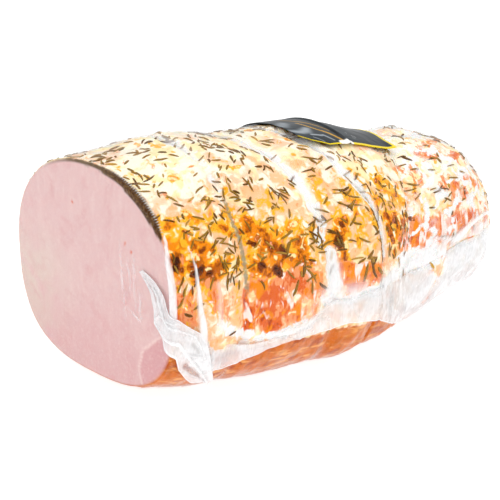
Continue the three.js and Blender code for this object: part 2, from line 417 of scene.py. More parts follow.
def log_stations(shape: LogShape, face_rows: int, side_rows: int, tail_rows: int) -> Array:
    """Give stations from the middle of the cut face to the tip of the tail.

    Args:
        shape: The log.
        face_rows: Rows on the cut face.
        side_rows: Rows along the straight part.
        tail_rows: Rows round the tail.

    Returns:
        Rising stations, closer together at the rim and at the tip.
    """
    inward = shape.face_reach * (1.0 - np.linspace(0.03, 1.0, face_rows) ** 0.9)
    rim = np.linspace(0.0, shape.rim, 5)[1:]
    tail_start = shape.length - shape.tail_length
    side = np.linspace(shape.rim, tail_start, side_rows)[1:]
    turn = np.linspace(0.0, math.pi / 2.0, tail_rows)[1:]
    tip = tail_start + (shape.tail_length - 0.02) * np.sin(turn)
    return np.concatenate([-inward, rim, side, tip])


# ---------------------------------------------------------------------------------------------
# Meshes
# ---------------------------------------------------------------------------------------------


def make_object(
    name: str, points: Array, faces: Faces, marks: dict[str, Array]
) -> bpy.types.Object:
    """Make a smooth mesh object that rides on the ham.

    Args:
        name: The piece's name.
        points: Points in millimetres, any shape that ends in 3.
        faces: The point numbers of each face.
        marks: Named numbers for each point, for the piece's finish to read.

    Returns:
        The linked object.
    """
    mesh = bpy.data.meshes.new(name)
    flat = (points.reshape(-1, 3) * MILLIMETRE).tolist()
    mesh.from_pydata(flat, [], faces)
    for mark, values in marks.items():
        layer = mesh.attributes.new(mark, "FLOAT", "POINT")
        layer.data.foreach_set("value", np.asarray(values, np.float32).reshape(-1))
    mesh.polygons.foreach_set("use_smooth", [True] * len(mesh.polygons))
    mesh.validate()
    piece = bpy.data.objects.new(name, mesh)
    bpy.context.scene.collection.objects.link(piece)
    return piece


def grid_faces(rows: int, columns: int, closed: bool = False, first: int = 0) -> Faces:
    """Give the four-sided faces of a grid whose columns run the way that angles fall.

    Args:
        rows: Rows of points.
        columns: Points in a row.
        closed: Whether the last column joins the first.
        first: Number of the grid's first point.

    Returns:
        The point numbers of each face.
    """
    across = columns if closed else columns - 1
    i, j = np.meshgrid(np.arange(rows - 1), np.arange(across), indexing="ij")
    k = (j + 1) % columns
    corners = (i * columns + j, (i + 1) * columns + j, (i + 1) * columns + k, i * columns + k)
    return (np.stack(corners, axis=-1).reshape(-1, 4) + first).tolist()


def fan_faces(middle: int, ring: int, columns: int, outward: bool) -> Faces:
    """Give the triangles that close a ring of points round a middle point.

    Args:
        middle: Number of the middle point.
        ring: Number of the ring's first point.
        columns: Points in the ring.
        outward: Whether the ring is at the tail, where the triangles face along +X.

    Returns:
        The point numbers of each triangle.
    """
    if outward:
        return [(middle, ring + (j + 1) % columns, ring + j) for j in range(columns)]
    return [(middle, ring + j, ring + (j + 1) % columns) for j in range(columns)]


def finish_piece(piece: bpy.types.Object, material: bpy.types.Material) -> None:
    """Dress a piece and tie it to the ham's body.

    Args:
        piece: The piece's object.
        material: Its finish.
    """
    piece.data.materials.append(material)
    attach(piece, BODY)


def thicken(piece: bpy.types.Object, thickness: float) -> None:
    """Give a sheet its thickness, towards the meat.

    Args:
        piece: The sheet's object.
        thickness: Millimetres.
    """
    solid = piece.modifiers.new("thickness", "SOLIDIFY")
    solid.thickness = thickness * MILLIMETRE
    solid.offset = -1.0
    solid.use_even_offset = False


# ---------------------------------------------------------------------------------------------
# Finishes
# ---------------------------------------------------------------------------------------------


def linear(code: str) -> Colour:
    """Turn an sRGB hex colour into linear red, green, blue and alpha.

    Args:
        code: A colour such as "#E9BFBF".

    Returns:
        Four numbers from 0 to 1.
    """
    parts = [int(code[i : i + 2], 16) / 255.0 for i in (1, 3, 5)]
    turned = [p / 12.92 if p <= 0.04045 else ((p + 0.055) / 1.055) ** 2.4 for p in parts]
    return (turned[0], turned[1], turned[2], 1.0)


def new_material(name: str) -> tuple[bpy.types.Material, bpy.types.NodeTree, bpy.types.Node]:
    """Make a material with nothing but an output node.

    Args:
        name: The material's name.

    Returns:
        The material, its node tree and its output node.
    """
    material = bpy.data.materials.new(name)
    material.use_nodes = True
    tree = material.node_tree
    tree.nodes.clear()
    return material, tree, tree.nodes.new("ShaderNodeOutputMaterial")


def add_node(
    tree: bpy.types.NodeTree, kind: str, links: dict | None = None, **settings: object
) -> bpy.types.Node:
    """Add a shader node with its settings and links.

    Args:
        tree: The material's node tree.
        kind: The node's type, without "ShaderNode".
        links: Input (name or number) to a mask, an output socket or a plain value.
        **settings: Properties of the node.

    Returns:
        The node.
    """
    node = tree.nodes.new("ShaderNode" + kind)
    for key, value in settings.items():
        setattr(node, key, value)
    for key, value in (links or {}).items():
        source = value.socket if isinstance(value, Mask) else value
        if isinstance(source, Socket):
            tree.links.new(source, node.inputs[key])
        else:
            node.inputs[key].default_value = source
    return node


@dataclass(frozen=True)
class Mask:
    """A number at each point of a surface, which adds, subtracts and multiplies like one."""

    tree: bpy.types.NodeTree
    socket: Socket

    def combine(self, operation: str, other: "Mask | float" = 0.0) -> "Mask":
        """Do one sum on the mask.

        Args:
            operation: The sum, by the Math node's name for it.
            other: The second mask or number, where the sum needs one.

        Returns:
            The sum's mask.
        """
        node = add_node(self.tree, "Math", {0: self, 1: other}, operation=operation)
        return Mask(self.tree, node.outputs[0])

    def __add__(self, other: "Mask | float") -> "Mask":
        """Add a mask or a number."""
        return self.combine("ADD", other)

    def __sub__(self, other: "Mask | float") -> "Mask":
        """Subtract a mask or a number."""
        return self.combine("SUBTRACT", other)

    def __rsub__(self, number: float) -> "Mask":
        """Subtract the mask from a number."""
        node = add_node(self.tree, "Math", {0: number, 1: self}, operation="SUBTRACT")
        return Mask(self.tree, node.outputs[0])

    def __mul__(self, other: "Mask | float") -> "Mask":
        """Multiply by a mask or a number."""
        return self.combine("MULTIPLY", other)

    def ramp(self, low: float, high: float) -> "Mask":
        """Ease the mask from 0 at low to 1 at high.

        Args:
            low: Where the result leaves 0 (may be above high, for a falling ramp).
            high: Where the result reaches 1.

        Returns:
            The eased mask.
        """
        links = {0: self, 1: low, 2: high, 3: 0.0, 4: 1.0}
        settings = {"interpolation_type": "SMOOTHSTEP", "clamp": True}
        return Mask(self.tree, add_node(self.tree, "MapRange", links, **settings).outputs[0])


@dataclass
class Painter:
    """Builds up a colour in layers, each over the last where its mask is high."""

    tree: bpy.types.NodeTree
    colour: Socket | Colour

    def lay(self, over: str | Socket, mask: Mask) -> "Painter":
        """Lay a colour over the paint so far.

        Args:
            over: An sRGB hex code or a colour socket.
            mask: Where it shows, 0 to 1.

        Returns:
            The painter, for the next layer.
        """
        top = linear(over) if isinstance(over, str) else over
        links = {0: mask, 6: self.colour, 7: top}
        settings = {"data_type": "RGBA", "blend_type": "MIX", "clamp_factor": True}
        self.colour = add_node(self.tree, "Mix", links, **settings).outputs[2]
        return self


@dataclass(frozen=True)
class Weaver:
    """Starts the masks that a finish is drawn with: the mesh's marks, and grains by their size."""

    tree: bpy.types.NodeTree

    def mark(self, name: str) -> Mask:
        """Read a mark that the piece's mesh carries."""
        node = add_node(self.tree, "Attribute", attribute_name=name)
        return Mask(self.tree, node.outputs["Fac"])

    def grain(
        self,
        size: float,
        detail: float = 3.0,
        stretch: Triple = (1.0, 1.0, 1.0),
        distortion: float = 0.0,
    ) -> Mask:
        """Give noise whose features are size millimetres wide, stretched along the axes.

        Args:
            size: Feature width in millimetres.
            detail: Octaves of finer noise.
            stretch: How many times longer the features are along X, Y and Z.
            distortion: How far the noise is folded over itself.

        Returns:
            A mask with values around 0.5.
        """
        place = add_node(self.tree, "TexCoord").outputs["Object"]
        scale = tuple(1.0 / s for s in stretch)
        mapped = add_node(self.tree, "Mapping", {"Vector": place, "Scale": scale}).outputs[0]
        links = {
            "Vector": mapped,
            "Scale": 1.0 / (size * MILLIMETRE),
            "Detail": detail,
            "Distortion": distortion,
        }
        return Mask(self.tree, add_node(self.tree, "TexNoise", links).outputs["Fac"])

    def relief(self, height: Mask, depth: float) -> Socket:
        """Turn a height into a bumped direction, depth millimetres deep."""
        links = {"Height": height, "Distance": depth * MILLIMETRE, "Strength": 1.0}
        return add_node(self.tree, "Bump", links).outputs[0]


@dataclass(frozen=True)
class BakedHamMeat:
    """Cured pork: moist and pink where it is cut, roasted fat and meat outside.

    Cured meat is soft and lets light a little way in, so its pink glows instead of looking
    painted. Roast fat is cream to straw, with gold, orange and brown where the oven caught it.
    """

    pink: str = "#DFBAB8"
    pale_pink: str = "#E8CDC8"
    beige_pink: str = "#DCC8BC"
    deep_pink: str = "#D4979A"
    sinew: str = "#F9E6DE"
    speck: str = "#D8694A"
    rind: str = "#4C2C0C"
    rind_light: str = "#7A5A34"
    rind_grey: str = "#7A6A54"
    cream: str = "#FFF3DC"
    straw: str = "#FDE3A2"
    peach: str = "#FAC9A4"
    warm: str = "#F7B880"
    gold: str = "#F8B428"
    orange: str = "#EE8A0A"
    amber: str = "#B85C06"
    brown: str = "#7E3804"
    char: str = "#3E1804"
    salmon: str = "#F09A66"
    red_meat: str = "#DE6426"
    deep_red: str = "#B4400E"
    marbling: str = "#FBE6DC"
    jelly: str = "#F1F0EE"
    # painted shadow: the grey-olive shade that falls in the string valleys
    valley_shadow: str = "#8E8A72"
    under: str = "#D06C14"
    under_red: str = "#AE4A0E"
    under_pale: str = "#E8A058"
    base: str = "#B05408"
    roughness: float = 0.42
    specular: float = 0.08
    ior: float = 1.42
    glow: float = 0.22
    glow_reach: Triple = (0.9, 0.35, 0.25)  # how far red, green and blue travel, as shares
    glow_scale: float = 0.002  # of this, in metres
    bump_depth: float = 0.5

    def material(self) -> bpy.types.Material:
        """Build the finish.

        Returns:
            The material.
        """
        material, tree, output = new_material("baked_ham_meat")
        weaver = Weaver(tree)
        fine, small = weaver.grain(1.6, 3.0), weaver.grain(5.0, 4.0, distortion=0.6)
        middle = weaver.grain(11.0, 3.0, distortion=0.8)
        broad = weaver.grain(24.0, 2.0, distortion=0.6)
        fibre = weaver.grain(3.0, 4.0, stretch=(1.0, 1.0, 4.0), distortion=0.8)
        face = self.cut_face(weaver, broad, middle, fine)
        roast = self.roast(weaver, (fine, small, middle, broad, fibre))
        outside = self.underside(weaver, roast, middle, small)
        colour = Painter(tree, outside).lay(face, weaver.mark("face")).colour
        colour = self.rim(weaver, colour, fine)
        lumps = small * 0.6 + fine * 0.4
        height = lumps * (1.15 - weaver.mark("face"))
        links = {
            "Base Color": colour,
            "Roughness": self.roughness,
            "IOR": self.ior,
            "Specular IOR Level": self.specular,
            "Normal": weaver.relief(height, self.bump_depth),
            "Subsurface Weight": self.glow,
            "Subsurface Radius": self.glow_reach,
            "Subsurface Scale": self.glow_scale,
        }
        shader = add_node(tree, "BsdfPrincipled", links)
        tree.links.new(shader.outputs[0], output.inputs["Surface"])
        return material

    def cut_face(self, weaver: Weaver, broad: Mask, middle: Mask, fine: Mask) -> Socket:
        """Paint the sliced face: pale pink with soft upright streaks and a second muscle.

        Args:
            weaver: Starts the masks.
            broad: Grain for the beige side.
            middle: Grain for the darker clouds.
            fine: Grain for the pale flecks.

        Returns:
            The face's colour.
        """
        streak = weaver.grain(6.0, 3.0, stretch=(1.0, 1.0, 3.0), distortion=0.6)
        paint = Painter(weaver.tree, linear(self.pink))
        paint.lay(self.pale_pink, streak.ramp(0.46, 0.7) * 0.3)
        paint.lay(self.beige_pink, weaver.mark("beige") * broad.ramp(0.3, 0.6))
        paint.lay(self.deep_pink, weaver.mark("muscle") * 0.7)
        paint.lay(self.deep_pink, middle.ramp(0.45, 0.75) * 0.34)
        paint.lay(self.deep_pink, weaver.mark("low") * 0.38)
        paint.lay(self.pale_pink, fine.ramp(0.52, 0.68) * 0.4)
        paint.lay(self.sinew, weaver.mark("sinew") * 0.5)
        return paint.lay(self.speck, weaver.mark("speck")).colour

    def rim(self, weaver: Weaver, colour: Socket, fine: Mask) -> Socket:
        """Paint the seared strip at the rim, dark brown and greyer towards its far end.

        Args:
            weaver: Starts the masks.
            colour: The meat's colour so far.
            fine: Grain for the lighter flecks.

        Returns:
            The colour with the strip laid over it.
        """
        bark = Painter(weaver.tree, linear(self.rind))
        bark.lay(self.rind_light, fine.ramp(0.45, 0.7))
        bark.lay(self.rind_grey, weaver.mark("rind_grey"))
        return Painter(weaver.tree, colour).lay(bark.colour, weaver.mark("rind")).colour

    def ragged(self, weaver: Weaver, mark: str, grain: Mask, depth: float) -> Mask:
        """Break up a mark's smooth edge with a grain, so that it looks torn or burnt."""
        return weaver.mark(mark) + (grain - 0.5) * depth

    def roast(self, weaver: Weaver, grains: tuple[Mask, ...]) -> Socket:
        """Paint the roasted outside: marbled fat, gold, red meat, jelly, painted shadow in the valleys
        and char.

        Args:
            weaver: Starts the masks.
            grains: The fine, small, middle and broad grains, and the meat's fibre.

        Returns:
            The outside's colour.
        """
        fine, small, middle, broad, fibre = grains
        paint = Painter(weaver.tree, linear(self.cream))
        paint.lay(self.straw, middle.ramp(0.5, 0.6) * 0.8)
        paint.lay(self.peach, broad.ramp(0.5, 0.62) * small.ramp(0.36, 0.52))
        warm = self.ragged(weaver, "warm", small, 2.6).ramp(0.45, 0.95)
        paint.lay(self.warm, warm * 0.85)
        gold = self.ragged(weaver, "gold", small, 2.0)
        paint.lay(self.gold, gold.ramp(0.22, 0.42))
        paint.lay(self.orange, gold.ramp(0.5, 0.72))
        paint.lay(self.amber, gold.ramp(0.95, 1.2))
        flecks = weaver.grain(4.6, 4.0, distortion=0.3)
        paint.lay(self.amber, flecks.ramp(0.52, 0.58) * gold.ramp(0.5, 0.85))
        paint.lay(self.brown, flecks.ramp(0.59, 0.64) * gold.ramp(0.6, 0.95))
        paint.lay(self.straw, flecks.ramp(0.42, 0.36) * gold.ramp(0.3, 0.6))
        torn = (fibre + small) * 0.5
        red = self.ragged(weaver, "red", torn, 3.4)
        paint.lay(self.salmon, red.ramp(0.32, 0.5))
        paint.lay(self.red_meat, red.ramp(0.66, 0.9))
        paint.lay(self.deep_red, red.ramp(1.15, 1.4))
        fat = weaver.grain(7.0, 3.0, stretch=(1.0, 1.0, 3.0), distortion=0.9)
        paint.lay(self.orange, middle.ramp(0.5, 0.6) * red.ramp(0.4, 0.8))
        paint.lay(self.marbling, fat.ramp(0.57, 0.63) * red.ramp(0.3, 0.6))
        paint.lay(self.jelly, self.ragged(weaver, "jelly", small, 2.0).ramp(0.35, 0.6))
        # painted shadow along the bottoms of the string valleys
        paint.lay(self.valley_shadow, self.ragged(weaver, "valley_shadow", fine, 1.2).ramp(0.3, 0.8) * 0.8)
        burnt = self.ragged(weaver, "char", fine, 1.1)
        paint.lay(self.brown, burnt.ramp(0.25, 0.5))
        return paint.lay(self.char, burnt.ramp(0.6, 0.95)).colour

    def underside(self, weaver: Weaver, outside: Socket, middle: Mask, small: Mask) -> Socket:
        """Paint the underside, which baked in its own juice: orange, streaked red and pale.

        Args:
            weaver: Starts the masks.
            outside: The roasted outside's colour.
            middle: Grain for the red clouds.
            small: Grain for the amber flecks and the ragged edge.

        Returns:
            The outside's colour with the underside laid over it.
        """
        paint = Painter(weaver.tree, linear(self.under))
        paint.lay(self.under_red, middle.ramp(0.5, 0.64))
        streak = weaver.grain(4.0, 3.0, stretch=(4.0, 1.0, 1.0))
        paint.lay(self.under_pale, streak.ramp(0.54, 0.66))
        paint.lay(self.amber, small.ramp(0.5, 0.6) * 0.6)
        paint.lay(self.base, weaver.mark("base") * 0.75)
        edge = self.ragged(weaver, "under", small, 0.8).ramp(0.35, 0.65)
        return Painter(weaver.tree, outside).lay(paint.colour, edge).colour


@dataclass(frozen=True)
class ShrinkFilm:
    """Multilayer polyethylene shrink film, blown and then shrunk on in hot water.

    It is clear and very glossy, so it shows as bright glints on every crease, and it turns
    milky where it is doubled, creased or welded.
    """

    name: str = "shrink_film"
    milk: str = "#FDFDFE"
    roughness: float = 0.09
    ior: float = 1.5
    cling: float = 0.032
    crease: float = 3.0
    crease_depth: float = 0.4
    glint_pitch: float = 1.7
    milk_roughness: float = 0.28
    milk_through: float = 0.15
    milk_most: float = 0.96

    def material(self) -> bpy.types.Material:
        """Build the finish; the mark "milk" says where the film is white.

        Returns:
            The material.
        """
        material, tree, output = new_material(self.name)
        weaver = Weaver(tree)
        wrinkle = weaver.grain(self.crease, 3.0, stretch=(1.0, 1.0, 2.5), distortion=1.2)
        soft = weaver.grain(self.crease * 4.0, 2.0, distortion=0.8)
        height = wrinkle * 0.35 + soft
        normal = weaver.relief(height, self.crease_depth)
        fresnel = add_node(tree, "Fresnel", {"IOR": self.ior, "Normal": normal}).outputs[0]
        inner = Mask(tree, add_node(tree, "NewGeometry").outputs["Backfacing"])
        slant = (Mask(tree, fresnel) - self.cling).combine("MAXIMUM", 0.0)
        shine = slant * (1.0 - inner)
        gloss = add_node(tree, "BsdfGlossy", {"Roughness": self.roughness, "Normal": normal})
        clear = add_node(tree, "BsdfTransparent")
        film = add_node(tree, "MixShader", {0: shine, 1: clear.outputs[0], 2: gloss.outputs[0]})
        milk = linear(self.milk)
        links = {"Base Color": milk, "Roughness": self.milk_roughness, "IOR": self.ior}
        solid = add_node(tree, "BsdfPrincipled", links)
        through = add_node(tree, "BsdfTranslucent", {"Color": milk})
        links = {0: self.milk_through, 1: solid.outputs[0], 2: through.outputs[0]}
        white = add_node(tree, "MixShader", links)
        patchy = (wrinkle - 0.5) * 0.9
        cover = weaver.mark("milk") + patchy * weaver.mark("milk")
        # painted highlights: a row of white dots along the crimped rim, standing in for its glints
        wave = (weaver.mark("round_mm") * (2.0 * math.pi / self.glint_pitch)).combine("SINE")
        rim_glints = wave.ramp(0.1, 0.8) * weaver.mark("rim_glint_zone")
        veil = cover.combine("MAXIMUM", rim_glints).combine("MINIMUM", self.milk_most)
        mixed = add_node(tree, "MixShader", {0: veil, 1: film.outputs[0], 2: white.outputs[0]})
        tree.links.new(mixed.outputs[0], output.inputs["Surface"])
        return material


@dataclass(frozen=True)
class RoastRosemary:
    """Rosemary, chopped and roasted dry: matt leaves, olive where thick, brown at the tips."""

    olive: str = "#98701F"
    dark: str = "#6A440E"
    straw: str = "#CE9E40"
    roughness: float = 0.75
    specular: float = 0.15
    bump_depth: float = 0.15

    def material(self) -> bpy.types.Material:
        """Build the finish; the mark "tone" runs from dark to straw leaves.

        Returns:
            The material.
        """
        material, tree, output = new_material("roast_rosemary")
        weaver = Weaver(tree)
        fleck = weaver.grain(0.8, 2.0)
        paint = Painter(tree, linear(self.olive))
        paint.lay(self.dark, weaver.mark("tone").ramp(0.5, 0.1))
        paint.lay(self.straw, weaver.mark("tone").ramp(0.6, 1.0))
        paint.lay(self.dark, fleck.ramp(0.5, 0.7) * 0.6)
        links = {
            "Base Color": paint.colour,
            "Roughness": self.roughness,
            "Specular IOR Level": self.specular,
            "Normal": weaver.relief(fleck, self.bump_depth),
        }
        shader = add_node(tree, "BsdfPrincipled", links)
        tree.links.new(shader.outputs[0], output.inputs["Surface"])
        return material


@dataclass(frozen=True)
class PrintedLabel:
    """Polypropylene label film, printed dark and varnished: smooth, with soft reflections."""

    ground: str = "#1C2429"
    ground_light: str = "#323C43"
    border: str = "#F0D418"
    # painted reflection: the light grey of the glossy wrinkles, laid where the mark shine is
    band: str = "#A9B1B8"
    accent: str = "#DDA41C"
    # painted shade: near black along the label's crease
    fold_shadow: str = "#08090A"
    paper: str = "#F7F4EE"
    roughness: float = 0.3
    specular: float = 0.2
    bump_depth: float = 0.6

    def material(self, width: float, height: float) -> bpy.types.Material:
        """Build the finish; the marks "across" and "up" give the place on the label in mm.

        Args:
            width: The label's length along the log.
            height: Its length round the log.

        Returns:
            The material.
        """
        material, tree, output = new_material("printed_label")
        weaver = Weaver(tree)
        across, up = weaver.mark("across"), weaver.mark("up")
        from_far = (width - across).combine("MINIMUM", height - up)
        near_width = across.ramp(8.0, 40.0) * 1.4 + 0.5
        near_edge = (up - near_width).ramp(0.3, 0.0)
        cloud = weaver.grain(18.0, 2.0, distortion=0.8)
        paint = Painter(tree, linear(self.ground))
        paint.lay(self.ground_light, cloud.ramp(0.42, 0.66) * 0.6)
        paint.lay(self.accent, weaver.mark("gilt"))
        # painted reflection on the label's glossy wrinkles
        paint.lay(self.band, weaver.mark("shine"))
        # painted shade in the crease
        paint.lay(self.fold_shadow, weaver.mark("dark"))
        paint.lay(self.border, from_far.ramp(2.4, 2.1))
        paint.lay(self.border, near_edge)
        paint.lay(self.paper, weaver.mark("seal"))
        soft = weaver.grain(12.0, 2.0, distortion=0.6)
        links = {
            "Base Color": paint.colour,
            "Roughness": self.roughness,
            "Specular IOR Level": self.specular,
            "Normal": weaver.relief(soft, self.bump_depth),
        }
        shader = add_node(tree, "BsdfPrincipled", links)
        tree.links.new(shader.outputs[0], output.inputs["Surface"])
        return material


# ---------------------------------------------------------------------------------------------
# The ham
# ---------------------------------------------------------------------------------------------


@dataclass
class Ham:
    """The piece of meat: lumpy and dented outside, sliced flat at one end."""

    shape: LogShape
    face_rows: int = 46
    side_rows: int = 190
    tail_rows: int = 56
    columns: int = 330
    lump_height: float = 1.3
    pit_height: float = 0.55
    tie_depth: float = 2.2
    bulge: float = 0.9
    specks: tuple[tuple[float, float], ...] = ((14.0, 36.0), (-31.0, 22.5), (-36.0, 19.0))
    char_spots: tuple[Stroke, ...] = (
        Stroke(((5.0, 162.0, 1.5), (3.5, 166.0, 2.2))),
        Stroke(((19.0, 168.0, 1.6), (16.0, 170.0, 2.3), (12.0, 170.0, 1.6)), 0.9),
        Stroke(((22.0, 171.0, 1.2), (24.0, 171.0, 1.8)), 0.8),
        Stroke(((65.0, 174.0, 2.6), (67.0, 176.0, 1.6)), 0.9),
        Stroke(((56.0, 171.0, 1.6), (58.0, 172.0, 1.4)), 0.9),
        Stroke(((70.0, 165.0, 2.2), (71.0, 168.0, 1.6)), 0.8),
        Stroke(((51.0, 161.0, 1.0), (54.0, 162.0, 1.4)), 0.8),
        Stroke(((104.0, 165.0, 2.0), (104.0, 168.0, 2.4)), 0.8),
        Stroke(((107.0, 158.0, 1.0), (108.0, 160.0, 1.3)), 0.7),
        Stroke(((202.0, 161.0, 1.6), (204.0, 162.0, 1.2)), 0.55),
    )
    gold_patches: tuple[Stroke, ...] = (
        Stroke(((3.5, 156.0, 3.2), (3.0, 163.0, 4.2), (5.5, 170.0, 3.0)), 1.0, 0.8),
        Stroke(((23.0, 164.0, 3.4), (16.0, 166.0, 4.0), (16.0, 171.0, 5.0), (22.0, 173.0, 4.4),
                (29.0, 172.0, 4.0), (30.0, 167.0, 3.0)), 1.05, 0.8),
        Stroke(((16.0, 157.0, 4.0), (24.0, 162.0, 5.0)), 0.9, 0.8),
        Stroke(((18.0, 142.0, 2.2), (22.0, 147.0, 2.4)), 0.85, 0.8),
        Stroke(((52.0, 151.0, 4.0), (57.0, 160.0, 7.0), (62.0, 166.0, 8.0), (70.0, 170.0, 8.0),
                (80.0, 172.0, 5.0)), 1.0, 0.8),
        Stroke(((83.0, 162.0, 4.0), (82.0, 168.0, 4.0), (81.0, 174.0, 5.0)), 1.0, 0.8),
        Stroke(((68.0, 160.0, 6.0), (80.0, 155.0, 4.0)), 0.6, 0.9),
        Stroke(((108.0, 158.0, 3.4), (104.0, 166.0, 4.0), (104.0, 172.0, 3.0),
                (102.0, 180.0, 2.0)), 0.95, 0.8),
        Stroke(((150.0, 138.0, 6.0), (169.0, 145.0, 8.0), (192.0, 152.0, 5.0)), 0.55, 0.9),
        Stroke(((148.0, 159.0, 3.0), (175.0, 161.0, 4.0), (204.0, 164.0, 5.0)), 1.1, 0.8),
        Stroke(((150.0, 165.0, 4.0), (156.0, 170.0, 4.6), (160.0, 175.0, 3.6)), 1.2, 0.5),
        Stroke(((205.0, 176.0, 3.0), (204.0, 180.0, 3.0)), 0.9, 0.8),
        Stroke(((1.5, 176.0, 3.4), (2.5, 182.0, 4.0), (4.0, 188.0, 4.0)), 0.75, 0.8),
        Stroke(((10.0, 178.0, 2.5), (11.0, 186.0, 3.0)), 0.8, 0.8),
        Stroke(((20.0, 175.0, 3.0), (28.0, 182.0, 5.0)), 0.6, 0.8),
        Stroke(((54.0, 172.0, 6.0), (68.0, 174.0, 5.0)), 0.9, 0.9),
        Stroke(((166.0, 168.0, 5.0), (186.0, 166.0, 6.0), (203.0, 168.0, 5.0)), 1.0, 0.8),
        Stroke(((14.0, 167.0, 4.0), (20.0, 171.0, 5.0), (26.0, 170.0, 4.0)), 1.25, 0.7),
    )
    warm_patches: tuple[Stroke, ...] = (
        Stroke(((62.0, 138.0, 7.0), (75.0, 143.0, 10.0), (90.0, 147.0, 8.0)), 1.2, 0.8),
        Stroke(((82.0, 119.0, 6.0), (90.0, 132.0, 8.0)), 1.1, 0.8),
        Stroke(((106.0, 122.0, 4.0), (110.0, 140.0, 6.0)), 1.0, 0.8),
    )
    red_patches: tuple[Stroke, ...] = (
        Stroke(((47.0, 181.0, 1.6), (51.0, 186.0, 3.0), (51.0, 193.0, 3.0)), 1.25, 0.6),
        Stroke(((54.0, 179.0, 3.0), (62.0, 183.0, 6.0)), 1.0, 0.8),
        Stroke(((63.0, 184.0, 5.0), (73.0, 189.0, 7.0)), 0.85, 0.8),
        Stroke(((56.0, 186.0, 4.0), (64.0, 193.0, 6.0)), 1.05, 0.8),
        Stroke(((82.0, 178.0, 4.0), (85.0, 183.0, 3.0)), 0.7, 0.8),
        Stroke(((113.0, 180.0, 3.0), (123.0, 182.0, 3.4)), 0.95, 0.7),
        Stroke(((103.0, 181.0, 2.5), (113.0, 184.0, 3.4)), 0.95, 0.7),
        Stroke(((4.0, 179.0, 3.0), (5.0, 192.0, 4.0)), 0.8, 0.8),
        Stroke(((11.0, 177.0, 2.0), (12.0, 188.0, 3.0)), 0.75, 0.8),
        Stroke(((22.0, 176.0, 3.0), (32.0, 183.0, 6.0)), 0.55, 0.9),
        Stroke(((70.0, 178.0, 6.0), (88.0, 180.0, 5.0)), 0.75, 0.9),
        Stroke(((103.0, 178.0, 2.6), (112.0, 180.0, 2.6), (121.0, 181.0, 2.6)), 1.1, 0.7),
        Stroke(((106.0, 184.0, 2.2), (117.0, 186.0, 2.2)), 1.0, 0.7),
        Stroke(((251.0, 149.0, 6.0), (238.0, 144.0, 4.0)), 0.85, 0.8),
        Stroke(((238.0, 129.0, 5.0), (244.0, 124.0, 5.0)), 0.7, 0.9),
        Stroke(((206.0, 167.0, 6.0), (224.0, 173.0, 6.0), (234.0, 172.0, 5.0)), 0.95, 0.9),
        Stroke(((207.0, 178.0, 3.0), (228.0, 177.0, 4.0), (246.0, 172.0, 5.0)), 0.9, 0.9),
        Stroke(((228.0, 152.0, 5.0), (245.0, 158.0, 6.0)), 0.7, 0.9),
        Stroke(((172.0, 174.0, 4.0), (205.0, 173.0, 6.0), (218.0, 168.0, 5.0)), 0.95, 0.9),
    )
    jelly_patches: tuple[Stroke, ...] = (
        Stroke(((98.0, 84.0, 2.4), (100.0, 132.0, 2.8), (99.0, 150.0, 2.6),
                (99.0, 158.0, 1.8)), 0.72, 0.9),
        Stroke(((95.0, 161.0, 3.4), (94.0, 165.0, 3.0)), 0.7, 0.9),
        Stroke(((99.0, 170.0, 2.4), (98.0, 183.0, 4.4)), 1.0, 0.6),
        Stroke(((92.0, 187.0, 3.0), (107.0, 189.0, 2.4), (130.0, 187.0, 3.0), (177.0, 182.0, 4.4),
                (212.0, 181.0, 5.0)), 0.9, 0.9),
        Stroke(((125.0, 90.0, 2.0), (122.0, 134.0, 2.4), (126.0, 147.0, 3.0), (136.0, 164.0, 3.4),
                (131.0, 176.0, 4.0)), 0.74, 0.9),
        Stroke(((48.0, 84.0, 4.0), (44.0, 126.0, 3.4), (45.0, 134.0, 2.0)), 0.55, 0.9),
        Stroke(((30.0, 190.0, 4.0), (60.0, 199.0, 3.0), (80.0, 196.0, 4.0)), 0.7, 0.9),
    )
    # painted shadow in two string valleys, as station, angle and half width
    valley_shadows: tuple[Stroke, ...] = (
        Stroke(((45.0, 138.0, 1.0), (45.0, 148.0, 1.7), (47.0, 164.0, 1.6),
                (49.0, 180.0, 1.8)), 0.8, 0.8),
        Stroke(((123.0, 139.0, 1.4), (126.0, 148.0, 1.7)), 0.6, 0.8),
    )

    def relief(self, points: Array, station: Array, angle: Array) -> Array:
        """Give how far the meat stands out from the plain log.

        Args:
            points: Places on the plain log, in millimetres.
            station: Their stations.
            angle: Their angles.

        Returns:
            Millimetres, positive outwards.
        """
        lumps = self.lump_height * fractal(points, 26.0, 11, 2)
        pits = self.pit_height * fractal(points, 7.0, 23, 2)
        valley = self.shape.valley(station + 0.9 * fractal(points, 20.0, 31, 1), angle)
        depth = self.tie_depth * (0.85 + 0.3 * fractal(points, 30.0, 37, 1))
        swell = self.bulge * (np.abs(np.sin(np.pi * station / 48.0)) - 0.5)
        outside = smooth_step(0.5, 9.0, station)
        tail = smooth_step(self.shape.length - 1.0, self.shape.length - 26.0, station)
        dents = -valley * depth * tail
        face = 0.25 * fractal(points, 30.0, 41, 2)
        return outside * (lumps + pits + swell * tail + dents) + (1.0 - outside) * face

